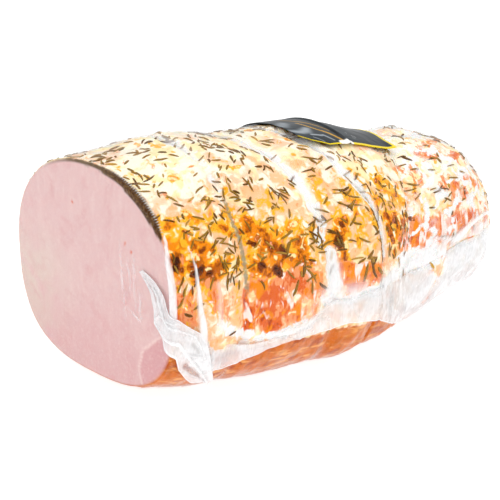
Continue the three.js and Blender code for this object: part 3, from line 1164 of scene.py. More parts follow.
    def marks(self, points: Array, station: Array, angle: Array) -> dict[str, Array]:
        """Work out where each colour of the meat shows.

        Args:
            points: Places, in millimetres.
            station: Their stations.
            angle: Their angles, 0 to 360.

        Returns:
            Named masks from 0 to 1.
        """
        arc = self.shape.arc
        turn = np.abs(np.mod(angle - 90.0 + 180.0, 360.0) - 180.0)
        wander = 10.0 * fractal(points, 40.0, 51, 2)
        low = turn + wander
        front = bump(np.mod(angle, 360.0), 180.0, 85.0)
        rough = fractal(points, 14.0, 61, 3)
        chunk = fractal(points, 10.0, 67, 2)
        hidden = smooth_step(0.5, 0.0, front)
        gold = bump(low, 76.0, 26.0) * smooth_step(-0.25, 0.5, rough) * (0.25 + 0.75 * hidden)
        gold = np.maximum(gold, strokes_mask(self.gold_patches, station, angle, arc))
        chunks = smooth_step(0.35, 0.8, chunk) * smooth_step(110.0, 60.0, turn)
        gold = np.maximum(gold, 0.55 * chunks)
        band = bump(low, 66.0, 30.0) * (1.0 - hidden) * smooth_step(215.0, 150.0, station)
        gold = np.maximum(gold, 0.6 * band * smooth_step(-0.3, 0.3, rough))
        red = bump(low, 100.0, 22.0) * smooth_step(-0.3, 0.4, chunk) * (0.3 + 0.7 * hidden)
        red = np.maximum(red, strokes_mask(self.red_patches, station, angle, arc))
        end = smooth_step(178.0, 212.0, station + 6.0 * rough)
        red = np.maximum(red, 0.62 * end * smooth_step(-0.1, 0.5, fractal(points, 13.0, 71, 3)))
        jelly = strokes_mask(self.jelly_patches, station, angle, arc)
        back_bands = 0.6 * self.shape.valley(station, angle) * hidden
        back_bands = back_bands * smooth_step(120.0, 60.0, turn)
        net = smooth_step(0.3, 0.08, np.abs(fractal(points, 20.0, 79, 3)))
        jelly = np.maximum(np.maximum(jelly, back_bands), 0.7 * end * net)
        char = strokes_mask(self.char_spots, station, angle, arc)
        spots = smooth_step(0.5, 0.8, fractal(points, 9.0, 83, 2)) * bump(low, 78.0, 22.0) * hidden
        char = np.maximum(char, spots)
        under = smooth_step(108.0, 122.0, turn + 0.4 * wander)
        base = smooth_step(132.0, 160.0, turn + 0.5 * wander)
        face = smooth_step(0.6, 0.0, station)
        # painted shadow in the string valleys
        valley_shadow = strokes_mask(self.valley_shadows, station, angle, arc)
        warm = smooth_step(14.0, 66.0, turn + 8.0 * rough)
        warm = np.maximum(warm, strokes_mask(self.warm_patches, station, angle, arc))
        warm *= 1.0 - 0.45 * smooth_step(190.0, 250.0, station + 12.0 * rough)
        outside = {
            "gold": gold,
            "valley_shadow": valley_shadow,
            "warm": 0.9 * warm,
            "red": red * (1.0 - under),
            "jelly": jelly * (1.0 - 0.8 * under),
            "char": char,
            "under": under,
            "base": base,
            "face": face,
        }
        return outside | self.face_marks(points, station, angle)

    def face_marks(self, points: Array, station: Array, angle: Array) -> dict[str, Array]:
        """Work out the masks that only matter at the cut: its rim strip, muscle and specks.

        Args:
            points: Places, in millimetres.
            station: Their stations.
            angle: Their angles, 0 to 360.

        Returns:
            Named masks from 0 to 1.
        """
        middle = self.shape.face_middle()
        y, z = points[..., 1] - middle[1], points[..., 2] - middle[2]
        on_face = smooth_step(1.0, 0.0, station)
        edge = 0.35 * fractal(points, 3.0, 91, 2)
        reach = np.interp(angle, [52.0, 72.0, 96.0, 124.0, 140.0, 149.0, 154.0],
                          [0.2, 0.5, 1.0, 3.0, 3.0, 1.2, 0.0])
        strip = smooth_step(reach + 0.5, reach - 0.2, -station + edge)
        strip = strip * smooth_step(1.1 * reach + 0.3, 0.5 * reach, station + 1.5 * edge)
        rind = strip * smooth_step(0.1, 0.8, reach)
        grey = smooth_step(118.0, 84.0, angle) * 0.7
        seam_y = np.interp(z, [-56.0, -46.0, -36.0, -30.0], [-41.0, -40.0, -41.5, -44.0])
        seam_z = np.interp(
            y, [-66.0, -56.0, -49.0, -43.0, -40.0], [-20.0, -25.0, -29.0, -33.0, -36.0]
        )
        inside = np.minimum(seam_y - y, seam_z - z) + 1.5 * fractal(points, 14.0, 97, 2)
        muscle = smooth_step(-1.0, 2.0, inside) * on_face
        sinew = bump(inside, 0.0, 1.3) * on_face
        beige = smooth_step(0.0, 60.0, y) * smooth_step(30.0, -20.0, z) * on_face
        low = smooth_step(0.0, -60.0, z) * on_face
        spots = np.zeros(y.shape)
        for spot_y, spot_z in self.specks:
            away = np.hypot((y - spot_y) * 1.6, z - spot_z)
            spots = np.maximum(spots, smooth_step(1.6, 0.4, away))
        return {
            "rind": rind,
            "rind_grey": grey,
            "muscle": muscle,
            "sinew": sinew,
            "beige": beige,
            "low": low,
            "speck": spots * on_face,
        }

    def build(self) -> bpy.types.Object:
        """Make the meat's mesh and dress it.

        Returns:
            The finished piece.
        """
        stations = log_stations(self.shape, self.face_rows, self.side_rows, self.tail_rows)
        angles = np.linspace(360.0, 0.0, self.columns, endpoint=False)
        station, angle = np.meshgrid(stations, angles, indexing="ij")
        sheet = Sheet(self.shape, station, angle)
        lift = self.relief(sheet.points, station, angle)
        points = sheet.lifted(lift, self.shape.floor)
        marks = self.marks(sheet.points, station, angle)
        rows = len(stations)
        middles = np.stack([points[0].mean(axis=0), points[-1].mean(axis=0)])
        every = np.concatenate([points.reshape(-1, 3), middles])
        faces = grid_faces(rows, self.columns, closed=True)
        first_middle = rows * self.columns
        faces += fan_faces(first_middle, 0, self.columns, outward=False)
        faces += fan_faces(first_middle + 1, (rows - 1) * self.columns, self.columns, outward=True)
        ends = {name: np.array([values[0, 0], values[-1, 0]]) for name, values in marks.items()}
        joined = {
            name: np.concatenate([values.reshape(-1), ends[name]])
            for name, values in marks.items()
        }
        piece = make_object("baked_ham_log", every, faces, joined)
        finish_piece(piece, BakedHamMeat().material())
        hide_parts("ham")
        return piece


# ---------------------------------------------------------------------------------------------
# Herbs
# ---------------------------------------------------------------------------------------------


@dataclass
class Rosemary:
    """Chopped rosemary needles, pressed on to the roasted outside."""

    shape: LogShape
    ham: Ham
    count: int = 1150
    shortest: float = 4.5
    longest: float = 9.5
    width: float = 1.05
    thickness: float = 0.6
    rows: int = 7
    seed: int = 5
    kept_by_turn: tuple[tuple[float, ...], ...] = (
        (0.0, 40.0, 62.0, 86.0, 96.0, 120.0), (0.75, 0.75, 1.0, 1.0, 0.08, 0.01),
    )  # degrees from the top, and the share of needles that stay there
    kept_by_station: tuple[tuple[float, ...], ...] = (
        (0.0, 130.0, 190.0, 240.0, 287.0), (1.0, 1.0, 0.6, 0.35, 0.15),
    )

    def places(self) -> tuple[Array, Array]:
        """Choose where the needles lie: thick on top and the upper sides, none underneath.

        Returns:
            Stations and angles, one of each per needle.
        """
        rng = np.random.default_rng(self.seed)
        stations, angles = [], []
        while len(stations) < self.count:
            station = rng.uniform(2.0, self.shape.length - 14.0)
            angle = rng.uniform(-30.0, 210.0)
            turn = abs(angle - 90.0)
            keep = np.interp(turn, *self.kept_by_turn)
            keep *= np.interp(station, *self.kept_by_station)
            spot = np.array([[station, angle * self.shape.arc, 0.0]])
            keep *= 0.25 + 0.75 * smooth_step(-0.35, 0.4, fractal(spot, 22.0, 501, 2))[0]
            if rng.random() < keep:
                stations.append(station)
                angles.append(angle)
        return np.array(stations), np.array(angles)

    def build(self) -> bpy.types.Object:
        """Make all the needles as one dressed piece.

        Returns:
            The finished piece.
        """
        rng = np.random.default_rng(self.seed + 1)
        stations, angles = self.places()
        count = len(stations)
        lengths = rng.uniform(self.shortest, self.longest, count) * rng.uniform(0.7, 1.0, count)
        turns = rng.uniform(0.0, math.pi, count)
        bends = rng.normal(0.0, 0.05, count)
        tones = np.clip(rng.normal(0.45, 0.25, count), 0.0, 1.0)
        t = np.linspace(-1.0, 1.0, self.rows)
        half = 0.5 * self.width * np.sqrt(np.maximum(1.0 - (np.abs(t) ** 2.4), 0.0)) + 0.05
        ring = np.array([[-1.0, 0.0], [-0.55, 1.0], [0.55, 1.0], [1.0, 0.0]])
        run = lengths[:, None] * 0.5 * t[None, :]
        sway = bends[:, None] * lengths[:, None] * (t**2)[None, :]
        widths = rng.uniform(0.7, 1.25, (count, 1, 1))
        across = half[None, :, None] * ring[None, None, :, 0] * widths
        x = np.broadcast_to(run[..., None], across.shape)
        y = sway[..., None] + across
        cos, sin = np.cos(turns)[:, None, None], np.sin(turns)[:, None, None]
        station = stations[:, None, None] + x * cos - y * sin
        angle = angles[:, None, None] + (x * sin + y * cos) / self.shape.arc
        station = np.clip(station, 0.8, self.shape.length - 2.0)
        flat_s, flat_a = station.reshape(1, -1), angle.reshape(1, -1)
        sheet = Sheet(self.shape, flat_s, flat_a)
        lift = self.ham.relief(sheet.points, flat_s, flat_a)
        rise = (half / half.max())[None, :, None] * ring[None, None, :, 1] * self.thickness
        rise = (np.broadcast_to(rise, x.shape) + 0.04).reshape(1, -1)
        points = sheet.lifted(lift + rise, self.shape.floor)
        faces = self.needle_faces(count)
        tone = np.repeat(tones, self.rows * len(ring))
        piece = make_object("rosemary_needles", points, faces, {"tone": tone})
        finish_piece(piece, RoastRosemary().material())
        needles = [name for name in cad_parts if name.startswith("rosemary_needle")]
        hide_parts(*needles)
        return piece

    def needle_faces(self, count: int) -> Faces:
        """Join each needle's sections into one closed leaf.

        Args:
            count: How many needles there are.

        Returns:
            The point numbers of each face.
        """
        sides = 4
        faces = []
        for k in range(count):
            first = k * self.rows * sides
            faces += grid_faces(self.rows, sides, closed=True, first=first)
            faces.append(tuple(first + j for j in (0, 1, 2, 3)))
            last = first + (self.rows - 1) * sides
            faces.append(tuple(last + j for j in (3, 2, 1, 0)))
        return faces


# ---------------------------------------------------------------------------------------------
# The bag
# ---------------------------------------------------------------------------------------------


@dataclass
class Bag:
    """The clear bag: an upper and a lower web of film, drawn tight over the meat."""

    shape: LogShape
    ham: Ham
    face_rows: int = 40
    side_rows: int = 290
    tail_rows: int = 60
    upper_columns: int = 250
    lower_columns: int = 120
    seam_gap: float = 1.0
    upper_lift: float = 0.95
    lower_lift: float = 0.4
    bridge: float = 0.7
    pleats: tuple[Stroke, ...] = (
        Stroke(((1.5, 150.0, 0.3), (0.5, 162.0, 0.5), (0.5, 173.0, 0.9), (0.5, 182.0, 1.1),
                (0.5, 188.0, 0.8)), 0.9, 0.4),
        Stroke(((12.0, 157.0, 0.2), (14.0, 165.0, 0.4), (15.0, 177.0, 1.1), (18.0, 188.0, 2.2),
                (20.0, 197.0, 2.6)), 0.9, 0.35),
    )
    face_crease_highlights: tuple[tuple[float, ...], ...] = (
        (-27.0, 24.0, -30.0, -22.0), (-33.0, 16.0, -35.0, -6.0), (-38.0, 22.0, -39.0, -14.0),
        (-42.0, 2.0, -43.0, -22.0), (-34.0, -14.0, -44.0, -19.0),
    )  # painted highlights of straight creases on the cut face's film, as y and z of both ends from its middle
    # painted reflection: white drawn on the film where it bridges the string valleys
    valley_sheen: tuple[Stroke, ...] = (
        Stroke(((98.0, 84.0, 1.8), (100.0, 132.0, 2.2), (99.0, 150.0, 1.8),
                (99.0, 158.0, 1.2)), 0.3, 0.9),
        Stroke(((99.0, 170.0, 2.0), (98.0, 183.0, 4.0)), 0.6, 0.9),
        Stroke(((125.0, 90.0, 1.6), (122.0, 134.0, 2.0), (126.0, 147.0, 2.4), (136.0, 164.0, 2.8),
                (131.0, 176.0, 3.4)), 0.35, 0.9),
        Stroke(((48.0, 84.0, 3.0), (44.0, 126.0, 2.6), (45.0, 134.0, 1.0)), 0.15, 0.9),
    )
    ridges: tuple[Stroke, ...] = (
        Stroke(((214.0, 175.0, 0.7), (226.0, 181.0, 1.0), (233.0, 180.0, 1.6), (244.0, 176.0, 1.4),
                (265.0, 169.0, 1.2)), 0.95, 0.4),
        Stroke(((28.0, 176.0, 1.4), (30.0, 190.0, 2.0)), 0.4, 0.9),
    )
    milky: tuple[Stroke, ...] = (
        Stroke(((10.0, 194.0, 3.0), (24.0, 196.0, 3.0), (53.0, 201.0, 2.0), (80.0, 196.0, 3.0),
                (92.0, 186.0, 4.0), (119.0, 187.0, 4.0), (178.0, 183.0, 5.0), (210.0, 182.0, 4.0),
                (240.0, 182.0, 4.0), (262.0, 179.0, 5.0)), 0.75, 0.9),
    )

    def lift(self, sheet: Sheet, station: Array, angle: Array, base: float) -> Array:
        """Give how far the film stands off the plain log.

        Args:
            sheet: The grid of points.
            station: Their stations.
            angle: Their angles.
            base: Millimetres kept clear of the meat, for the herbs.

        Returns:
            Millimetres.
        """
        points = sheet.points
        meat = self.ham.relief(points, station, angle)
        outside = smooth_step(0.0, 6.0, station)
        base = base * outside + 0.5 * (1.0 - outside)
        broad = self.ham.lump_height * fractal(points, 26.0, 11, 2) * outside
        bridged = broad - self.bridge * self.ham.tie_depth * self.shape.valley(station, angle)
        tight = np.maximum(meat + base, bridged + base)
        creases = 0.16 * np.abs(fractal(points, 9.0, 131, 2)) * outside
        folds = 1.1 * strokes_mask(self.pleats + self.ridges[:1], station, angle, self.shape.arc)
        return tight + creases + folds

    def milk(self, points: Array, station: Array, angle: Array) -> Array:
        """Give how white the film is: pleats, painted reflection where it bridges the valleys, the
        seam's side, the tail's creases and painted crease highlights on the cut face.

        Args:
            points: Places on the plain log, in millimetres.
            station: Their stations.
            angle: Their angles.

        Returns:
            Numbers from 0, clear, to 1, white.
        """
        arc = self.shape.arc
        turned = np.mod(angle, 360.0)
        front = smooth_step(90.0, 120.0, turned) * smooth_step(250.0, 215.0, turned)
        drawn = strokes_mask(self.pleats + self.valley_sheen + self.ridges, station, angle, arc)
        drawn = np.maximum(drawn, strokes_mask(self.milky, station, angle, arc)
                           * smooth_step(-0.5, 0.35, fractal(points, 9.0, 141, 3)))
        veins = smooth_step(0.1, 0.0, np.abs(fractal(points * [1.0, 1.0, 0.6], 13.0, 147, 2)))
        end = smooth_step(165.0, 215.0, station)
        valley = self.shape.valley(station, angle)
        back = 1.0 - front
        # the valley term is painted reflection of the film bridging the valleys
        hazy = 0.5 * veins * end + 0.35 * back * valley
        patchy = smooth_step(-0.4, 0.4, fractal(points, 12.0, 151, 2))
        near_seam = bump(turned, 345.0, 14.0) * patchy
        side = smooth_step(-6.0, 0.0, station)
        whole = np.maximum.reduce([drawn, hazy, 0.55 * near_seam]) * side
        return np.clip(np.maximum(whole, self.crease_highlights(points) * (1.0 - side)), 0.0, 1.0)

    def crease_highlights(self, points: Array) -> Array:
        """Give the painted highlights of the fine creases on the cut face's film, drawn in white.

        Args:
            points: Places on the plain log, in millimetres.

        Returns:
            Numbers from 0, clear, to 0.5.
        """
        middle = self.shape.face_middle()
        y, z = points[..., 1] - middle[1], points[..., 2] - middle[2]
        total = np.zeros(y.shape)
        for y0, z0, y1, z1 in self.face_crease_highlights:
            run_y, run_z = y1 - y0, z1 - z0
            share = np.clip(((y - y0) * run_y + (z - z0) * run_z) / (run_y**2 + run_z**2), 0.0, 1.0)
            away = np.hypot(y - y0 - share * run_y, z - z0 - share * run_z)
            fade = np.sin(np.pi * np.clip(share, 0.04, 0.96))
            total = np.maximum(total, 0.5 * fade * smooth_step(1.1, 0.2, away))
        return total

    def rim_glints(self, station: Array, angle: Array) -> tuple[Array, Array]:
        """Place the painted glints of the crimped rim: a row of white dots that stand in for its
        reflections.

        Args:
            station: Stations of the film's points.
            angle: Their angles.

        Returns:
            How strongly the painted glints show, 0 to 1, and millimetres round the rim.
        """
        stretch = smooth_step(50.0, 64.0, angle) * smooth_step(152.0, 146.0, angle)
        return 0.6 * bump(station, 1.5, 1.0) * stretch, angle * self.shape.arc

    def web(self, name: str, columns: int, upper: bool) -> bpy.types.Object:
        """Make one web of the bag.

        Args:
            name: The piece's name.
            columns: Columns of its grid.
            upper: Whether it is the web over the top.

        Returns:
            The dressed piece.
        """
        stations = log_stations(self.shape, self.face_rows, self.side_rows, self.tail_rows)
        drop = self.shape.along(self.shape.seam_drops, np.maximum(stations, 0.0))
        half = self.seam_gap / 2.0 * smooth_step(-2.0, 6.0, stations)
        share = np.linspace(0.0, 1.0, columns)
        if upper:
            start, end = 180.0 + drop - half, half - drop
        else:
            start, end = 360.0 - half - drop, half + drop + 180.0
        angle = start[:, None] + (end - start)[:, None] * share[None, :]
        station = np.broadcast_to(stations[:, None], angle.shape).copy()
        sheet = Sheet(self.shape, station, angle)
        lift = self.lift(sheet, station, angle, self.upper_lift if upper else self.lower_lift)
        points = sheet.lifted(lift, 0.3)
        milk = self.milk(sheet.points, station, angle)
        zone, round_ = self.rim_glints(station, angle)
        faces = grid_faces(len(stations), columns)
        marks = {"milk": milk, "rim_glint_zone": zone, "round_mm": round_}
        return make_object(name, points, faces, marks)

    def build(self) -> list[bpy.types.Object]:
        """Make both webs and dress them.

        Returns:
            The upper and the lower web.
        """
        material = ShrinkFilm().material()
        pieces = []
        for name, node, columns, upper in (
            ("shrink_film_upper", "film_upper", self.upper_columns, True),
            ("shrink_film_lower", "film_lower", self.lower_columns, False),
        ):
            piece = self.web(name, columns, upper)
            finish_piece(piece, material)
            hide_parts(node)
            pieces.append(piece)
        return pieces


class Side(Enum):
    """A long side of the log, by the name of its seal's solid."""

    FRONT = "front_seal"
    BACK = "back_seal"


@dataclass
class SideSeal:
    """A welded edge of the bag: a rippled double flap that hangs from the seam.

    Its root and its free edge are given as angles at stations, as the flap falls on the log.
    """

    shape: LogShape
    side: Side
    root_stations: tuple[float, ...] = (
        9.0, 28.0, 53.0, 66.0, 78.0, 85.0, 94.0, 105.0, 140.0, 178.0, 240.0, 262.0, 286.0)
    root_angles: tuple[float, ...] = (
        196.0, 197.0, 201.0, 200.0, 198.0, 192.0, 187.0, 188.0, 186.0, 185.0, 183.0, 180.5, 180.0)
    free_stations: tuple[float, ...] = (
        9.0, 24.0, 31.0, 48.0, 60.0, 72.0, 88.0, 104.0, 125.0, 150.0, 178.0, 222.0, 258.0, 286.0)
    free_angles: tuple[float, ...] = (
        199.0, 216.0, 213.0, 210.0, 204.0, 201.5, 200.5, 199.0, 203.0, 207.0, 213.0, 220.0,
        226.0, 215.0)
    root_lift: float = 0.75
    edge_lift: float = 3.4
    tail_edge_lift: float = 1.8
    rows: int = 560
    columns: int = 48
    ripple: float = 0.8
    thickness: float = 0.3
    start: float = 9.0
    spread_pleats: int = 22
    gathered_pleats: int = 12

    def edges(self, stations: Array) -> tuple[Array, Array]:
        """Read the flap's two edges, smoothed, on its own side of the log.

        Args:
            stations: Where to read.

        Returns:
            The root's angles and the free edge's angles.
        """
        root = np.interp(stations, self.root_stations, self.root_angles)
        free = np.interp(stations, self.free_stations, self.free_angles)
        window = np.hanning(19)
        window /= window.sum()
        pad = len(window) // 2
        root = np.convolve(np.pad(root, pad, mode="edge"), window, "valid")
        free = np.convolve(np.pad(free, pad, mode="edge"), window, "valid")
        if self.side is Side.BACK:
            return 540.0 - root, 540.0 - free
        return root, free

    def build(self) -> bpy.types.Object:
        """Make the flap and dress it.

        Returns:
            The finished piece.
        """
        seed = 201 if self.side is Side.FRONT else 211
        share = np.linspace(0.0, 1.0, self.rows)
        run = self.shape.length - self.start - 0.05
        stations = self.start + run * np.sin(share * math.pi / 2.0) ** 0.95
        root, free = self.edges(stations)
        across = np.linspace(0.0, 1.0, self.columns)[None, :]
        angle = root[:, None] + (free - root)[:, None] * across
        station = np.broadcast_to(stations[:, None], angle.shape)
        sheet = Sheet(self.shape, station, angle)
        fall = np.abs(angle - root[:, None]) * self.shape.arc
        grid = np.stack([station, fall * 0.8, np.zeros(fall.shape)], axis=-1)
        waves = fractal(grid * [1.0, 0.3, 1.0], 9.0, seed + 3, 2)
        edge_lift = np.interp(stations, [150.0, 220.0], [self.edge_lift, self.tail_edge_lift])
        lift = self.root_lift + (edge_lift[:, None] - self.root_lift) * across
        pleats = self.pleated(stations[:, None], across, seed)
        lift = lift + (self.ripple * waves + 0.7 * pleats) * np.minimum(across * 3.0, 1.0)
        points = sheet.lifted(np.maximum(lift, 0.7), 0.7)
        milk = np.maximum(self.milk(grid, stations, across, seed), 0.95 * pleats)
        faces = grid_faces(self.rows, self.columns)
        if self.side is Side.FRONT:
            faces = [face[::-1] for face in faces]
        node = self.side.value
        piece = make_object(f"shrink_{node}", points, faces, {"milk": milk})
        thicken(piece, self.thickness)
        finish_piece(piece, ShrinkFilm(name=f"shrink_film_{node}").material())
        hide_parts(node)
        return piece

    def pleated(self, stations: Array, across: Array, seed: int) -> Array:
        """Give the sharp pleats that run across the flap, closest together where it is gathered.

        Args:
            stations: The grid's stations, one column.
            across: Places from the root (0) to the hem (1), one row.
            seed: Picks the pleats.

        Returns:
            A height from 0 to 1 for each point of the grid.
        """
        rng = np.random.default_rng(seed)
        spread = rng.uniform(12.0, self.shape.length - 10.0, self.spread_pleats)
        gathered = rng.normal(88.0, 12.0, self.gathered_pleats)
        total = np.zeros((stations.shape[0], across.shape[1]))
        for start in np.concatenate([spread, gathered]):
            lean, curve = rng.normal(2.0, 7.0), rng.normal(0.0, 3.0)
            first, last = rng.uniform(-0.3, 0.35), rng.uniform(0.6, 1.3)
            width = rng.uniform(0.35, 0.8)
            middle = start + lean * across + curve * across**2
            line = smooth_step(width, 0.1, np.abs(stations - middle))
            ends = smooth_step(first, first + 0.2, across) * smooth_step(last, last - 0.2, across)
            total = np.maximum(total, line * ends * rng.uniform(0.6, 1.0))
        return total

    def milk(self, grid: Array, stations: Array, across: Array, seed: int) -> Array:
        """Give how white the flap is: clear at its root, cloudy windows and a white hem.

        Args:
            grid: Millimetres along and down the flap, and 0.
            stations: The rows' stations.
            across: Places from the root (0) to the hem (1), one row.
            seed: Picks the clouds.

        Returns:
            Numbers from 0, clear, to 1, white.
        """
        patch = smooth_step(-0.4, 0.4, fractal(grid, 11.0, seed + 7, 3))
        slanted = np.abs(fractal((grid + grid[..., ::-1]) * [0.6, 0.6, 0.0], 15.0, seed + 13, 2))
        crease = 0.75 * smooth_step(0.035, 0.0, slanted)
        hem = smooth_step(0.955, 0.98, across)
        tail = smooth_step(150.0, 215.0, stations)[:, None]
        ground = (0.4 + 0.3 * patch + 0.14 * tail) * smooth_step(-0.06, 0.12, across)
        return np.clip(np.maximum(np.maximum(ground, crease), 0.97 * hem), 0.0, 1.0)


@dataclass
class CornerTab:
    """Spare film at the cut end: a fold that rises on the face and hangs down as a flap."""

    shape: LogShape
    rows: int = 180
    columns: int = 70
    thickness: float = 0.3
    left: tuple[Triple, ...] = (
        (-24.0, 167.5, 0.6), (-18.0, 176.0, 1.0), (-14.0, 180.0, 2.0), (-11.5, 184.0, 2.4),
        (-10.5, 190.0, 2.8), (-2.5, 194.0, 3.4), (1.5, 202.0, 3.6), (6.0, 210.0, 3.4),
        (15.0, 219.0, 3.2), (22.0, 225.0, 3.0),
    )
    right: tuple[Triple, ...] = (
        (-21.0, 166.0, 0.6), (-12.0, 172.5, 0.9), (-5.0, 178.0, 1.6), (1.0, 184.0, 2.0),
        (9.5, 188.0, 2.2), (17.0, 191.0, 2.4), (22.0, 197.0, 2.8), (25.0, 203.0, 3.0),
        (29.0, 211.0, 3.2), (37.0, 224.0, 3.2),
    )
    folds: tuple[Stroke, ...] = (
        Stroke(((0.6, 26.0, 1.0), (5.0, 36.0, 0.9), (10.0, 48.0, 0.7), (14.0, 60.0, 0.7)), 1.0, 0.5),
        Stroke(((6.0, 39.0, 0.5), (13.0, 44.0, 0.6), (18.0, 45.0, 0.4)), 0.9, 0.5),
        Stroke(((10.0, 10.0, 0.5), (11.0, 22.0, 0.8), (15.0, 30.0, 0.6), (16.5, 46.0, 0.5)), 0.9, 0.5),
        Stroke(((1.0, 24.0, 0.6), (8.0, 21.0, 0.7), (17.0, 23.0, 0.4)), 0.8, 0.5),
        Stroke(((4.0, 4.0, 0.6), (5.0, 16.0, 0.8), (2.0, 25.0, 0.6)), 0.7, 0.5),
        Stroke(((2.0, 49.0, 0.4), (8.0, 55.0, 0.5), (12.0, 60.0, 0.4)), 0.6, 0.5),
    )  # sharp folds, as millimetres across, down and half width
    windows: tuple[Stroke, ...] = (
        Stroke(((4.5, 46.0, 1.8), (8.0, 54.0, 2.0)), 1.0, 0.5),
        Stroke(((12.5, 37.0, 1.2), (14.0, 41.0, 1.2)), 0.7, 0.7),
        Stroke(((6.0, 8.0, 1.4), (7.0, 14.0, 1.6)), 0.8, 0.7),
    )  # places where the film lies single and clear
    size_across: float = 20.0
    size_down: float = 60.0

    def edge(self, places: tuple[Triple, ...], v: Array) -> Array:
        """Read an edge through places (station, angle, lift).

        Args:
            places: The places from the top of the fold to the flap's tip.
            v: Where to read, 0 to 1.

        Returns:
            Rows of station, angle and lift.
        """
        steps = np.linspace(0.0, 1.0, len(places))
        return np.stack([np.interp(v, steps, column) for column in zip(*places)], axis=-1)

    def build(self) -> bpy.types.Object:
        """Make the fold and dress it.

        Returns:
            The finished piece.
        """
        v = np.linspace(0.0, 1.0, self.rows)
        u = np.linspace(0.0, 1.0, self.columns)
        left, right = self.edge(self.left, v), self.edge(self.right, v)
        place = left[:, None] * (1.0 - u[None, :, None]) + right[:, None] * u[None, :, None]
        station, angle, lift = place[..., 0], place[..., 1], place[..., 2]
        sheet = Sheet(self.shape, station, angle)
        down, across = np.meshgrid(v * self.size_down, u * self.size_across, indexing="ij")
        grid = np.stack([across, down, np.zeros(down.shape)], axis=-1)
        folds = strokes_mask(self.folds, across, down, 1.0)
        windows = strokes_mask(self.windows, across, down, 1.0)
        arch = np.sin(u * math.pi)[None, :] ** 0.5
        soft = fractal(grid * [1.0, 0.3, 1.0], 9.0, 301, 2)
        lift = lift + (1.2 * folds + 0.5 * soft) * arch
        points = sheet.lifted(lift, 0.6)
        patch = smooth_step(-0.5, 0.3, fractal(grid, 8.0, 307, 2))
        rim = np.maximum(smooth_step(0.07, 0.02, u), smooth_step(0.94, 0.98, u))[None, :]
        whiter = smooth_step(0.0, 6.0, across - 0.28 * (down - 28.0))
        whiter = whiter * smooth_step(30.0, 40.0, down)
        ground = (0.5 + 0.2 * patch + 0.25 * whiter) * (1.0 - 0.6 * windows)
        hem = smooth_step(self.size_down - 2.0, self.size_down - 1.0, down)
        milk = np.maximum(np.maximum(ground, 0.95 * folds), 0.9 * np.maximum(rim, hem))
        faces = [face[::-1] for face in grid_faces(self.rows, self.columns)]
        piece = make_object("shrink_corner_tab", points, faces, {"milk": milk})
        thicken(piece, self.thickness)
        finish_piece(piece, ShrinkFilm(name="shrink_film_corner").material())
        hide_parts("corner_tab")
        return piece


@dataclass
class Label:
    """The label on top: a dark printed sheet, creased across where the log bends it."""

    shape: LogShape
    start: float = 122.0
    length: float = 70.0
    near_angle: float = 116.0
    curled_angle: float = 105.0
    far_angle: float = 45.0
    lift: float = 2.3
    thickness: float = 0.25
    rows: int = 140
    columns: int = 130
    crease_at: float = 0.42
    gilt: tuple[Stroke, ...] = (
        Stroke(((27.0, 3.0, 0.7), (22.0, 12.0, 0.8), (17.0, 18.0, 0.5), (13.0, 30.0, 0.5)), 0.9, 0.5),
        Stroke(((25.0, 16.0, 0.4), (20.0, 28.0, 0.5), (10.0, 40.0, 0.4)), 0.7, 0.5),
    )  # marks on the print, as millimetres across, up and half width
    # painted reflections of the glossy wrinkles, as millimetres across, up and half width
    shine: tuple[Stroke, ...] = (
        Stroke(((2.0, 10.0, 2.0), (8.0, 14.0, 2.6), (12.0, 20.0, 1.6)), 0.75, 0.9),
        Stroke(((9.0, 9.0, 0.9), (16.0, 10.0, 0.7), (20.0, 4.0, 0.5)), 0.8, 0.7),
        Stroke(((8.0, 5.0, 0.4), (12.0, 2.0, 0.4)), 0.7, 0.6),
        Stroke(((1.0, 20.0, 2.0), (6.0, 30.0, 2.0)), 0.5, 0.9),
    )
    # painted shade along the crease, as millimetres across, up and half width
    dark: tuple[Stroke, ...] = (
        Stroke(((28.0, 2.0, 0.6), (27.0, 14.0, 0.8), (22.0, 30.0, 0.7)), 1.0, 0.6),
        Stroke(((29.0, 8.0, 0.8), (36.0, 9.0, 0.4)), 0.9, 0.7),
    )
    seal: tuple[Stroke, ...] = (
        Stroke(((24.5, 1.6, 2.2), (31.0, 1.6, 2.2)), 1.0, 0.2),
    )

    def build(self) -> bpy.types.Object:
        """Make the label and dress it.

        Returns:
            The finished piece.
        """
        u, v = np.linspace(0.0, 1.0, self.rows), np.linspace(0.0, 1.0, self.columns)
        across, up = np.meshgrid(u * self.length, v, indexing="ij")
        near = np.interp(across, [0.0, 5.0, 14.0], [self.curled_angle, 111.0, self.near_angle])
        angle = near + (self.far_angle - near) * up
        distance = self.start + across
        point = self.shape.section(distance, angle, np.zeros(angle.shape))
        out = self.shape.normals(point)
        crease = bump(across / self.length + 0.1 * up, self.crease_at, 0.03)
        waves = fractal(point, 24.0, 401, 2)
        lift = self.lift + 0.5 * waves + 1.1 * crease
        curl = 1.0 * smooth_step(0.9, 1.0, u)[:, None] * smooth_step(0.16, 0.0, v)[None, :]
        points = point + out * (lift + curl)[..., None]
        height = abs(self.near_angle - self.far_angle) * self.shape.arc
        marks = {"across": across, "up": up * height}
        print_marks = {"gilt": self.gilt, "shine": self.shine, "dark": self.dark, "seal": self.seal}
        for name, strokes in print_marks.items():
            marks[name] = strokes_mask(strokes, across, up * height, 1.0)
        piece = make_object("printed_label", points, grid_faces(self.rows, self.columns), marks)
        thicken(piece, self.thickness)
        finish_piece(piece, PrintedLabel().material(self.length, height))
        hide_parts("label")
        return piece


# ---------------------------------------------------------------------------------------------
# Floor, lights and camera
# ---------------------------------------------------------------------------------------------


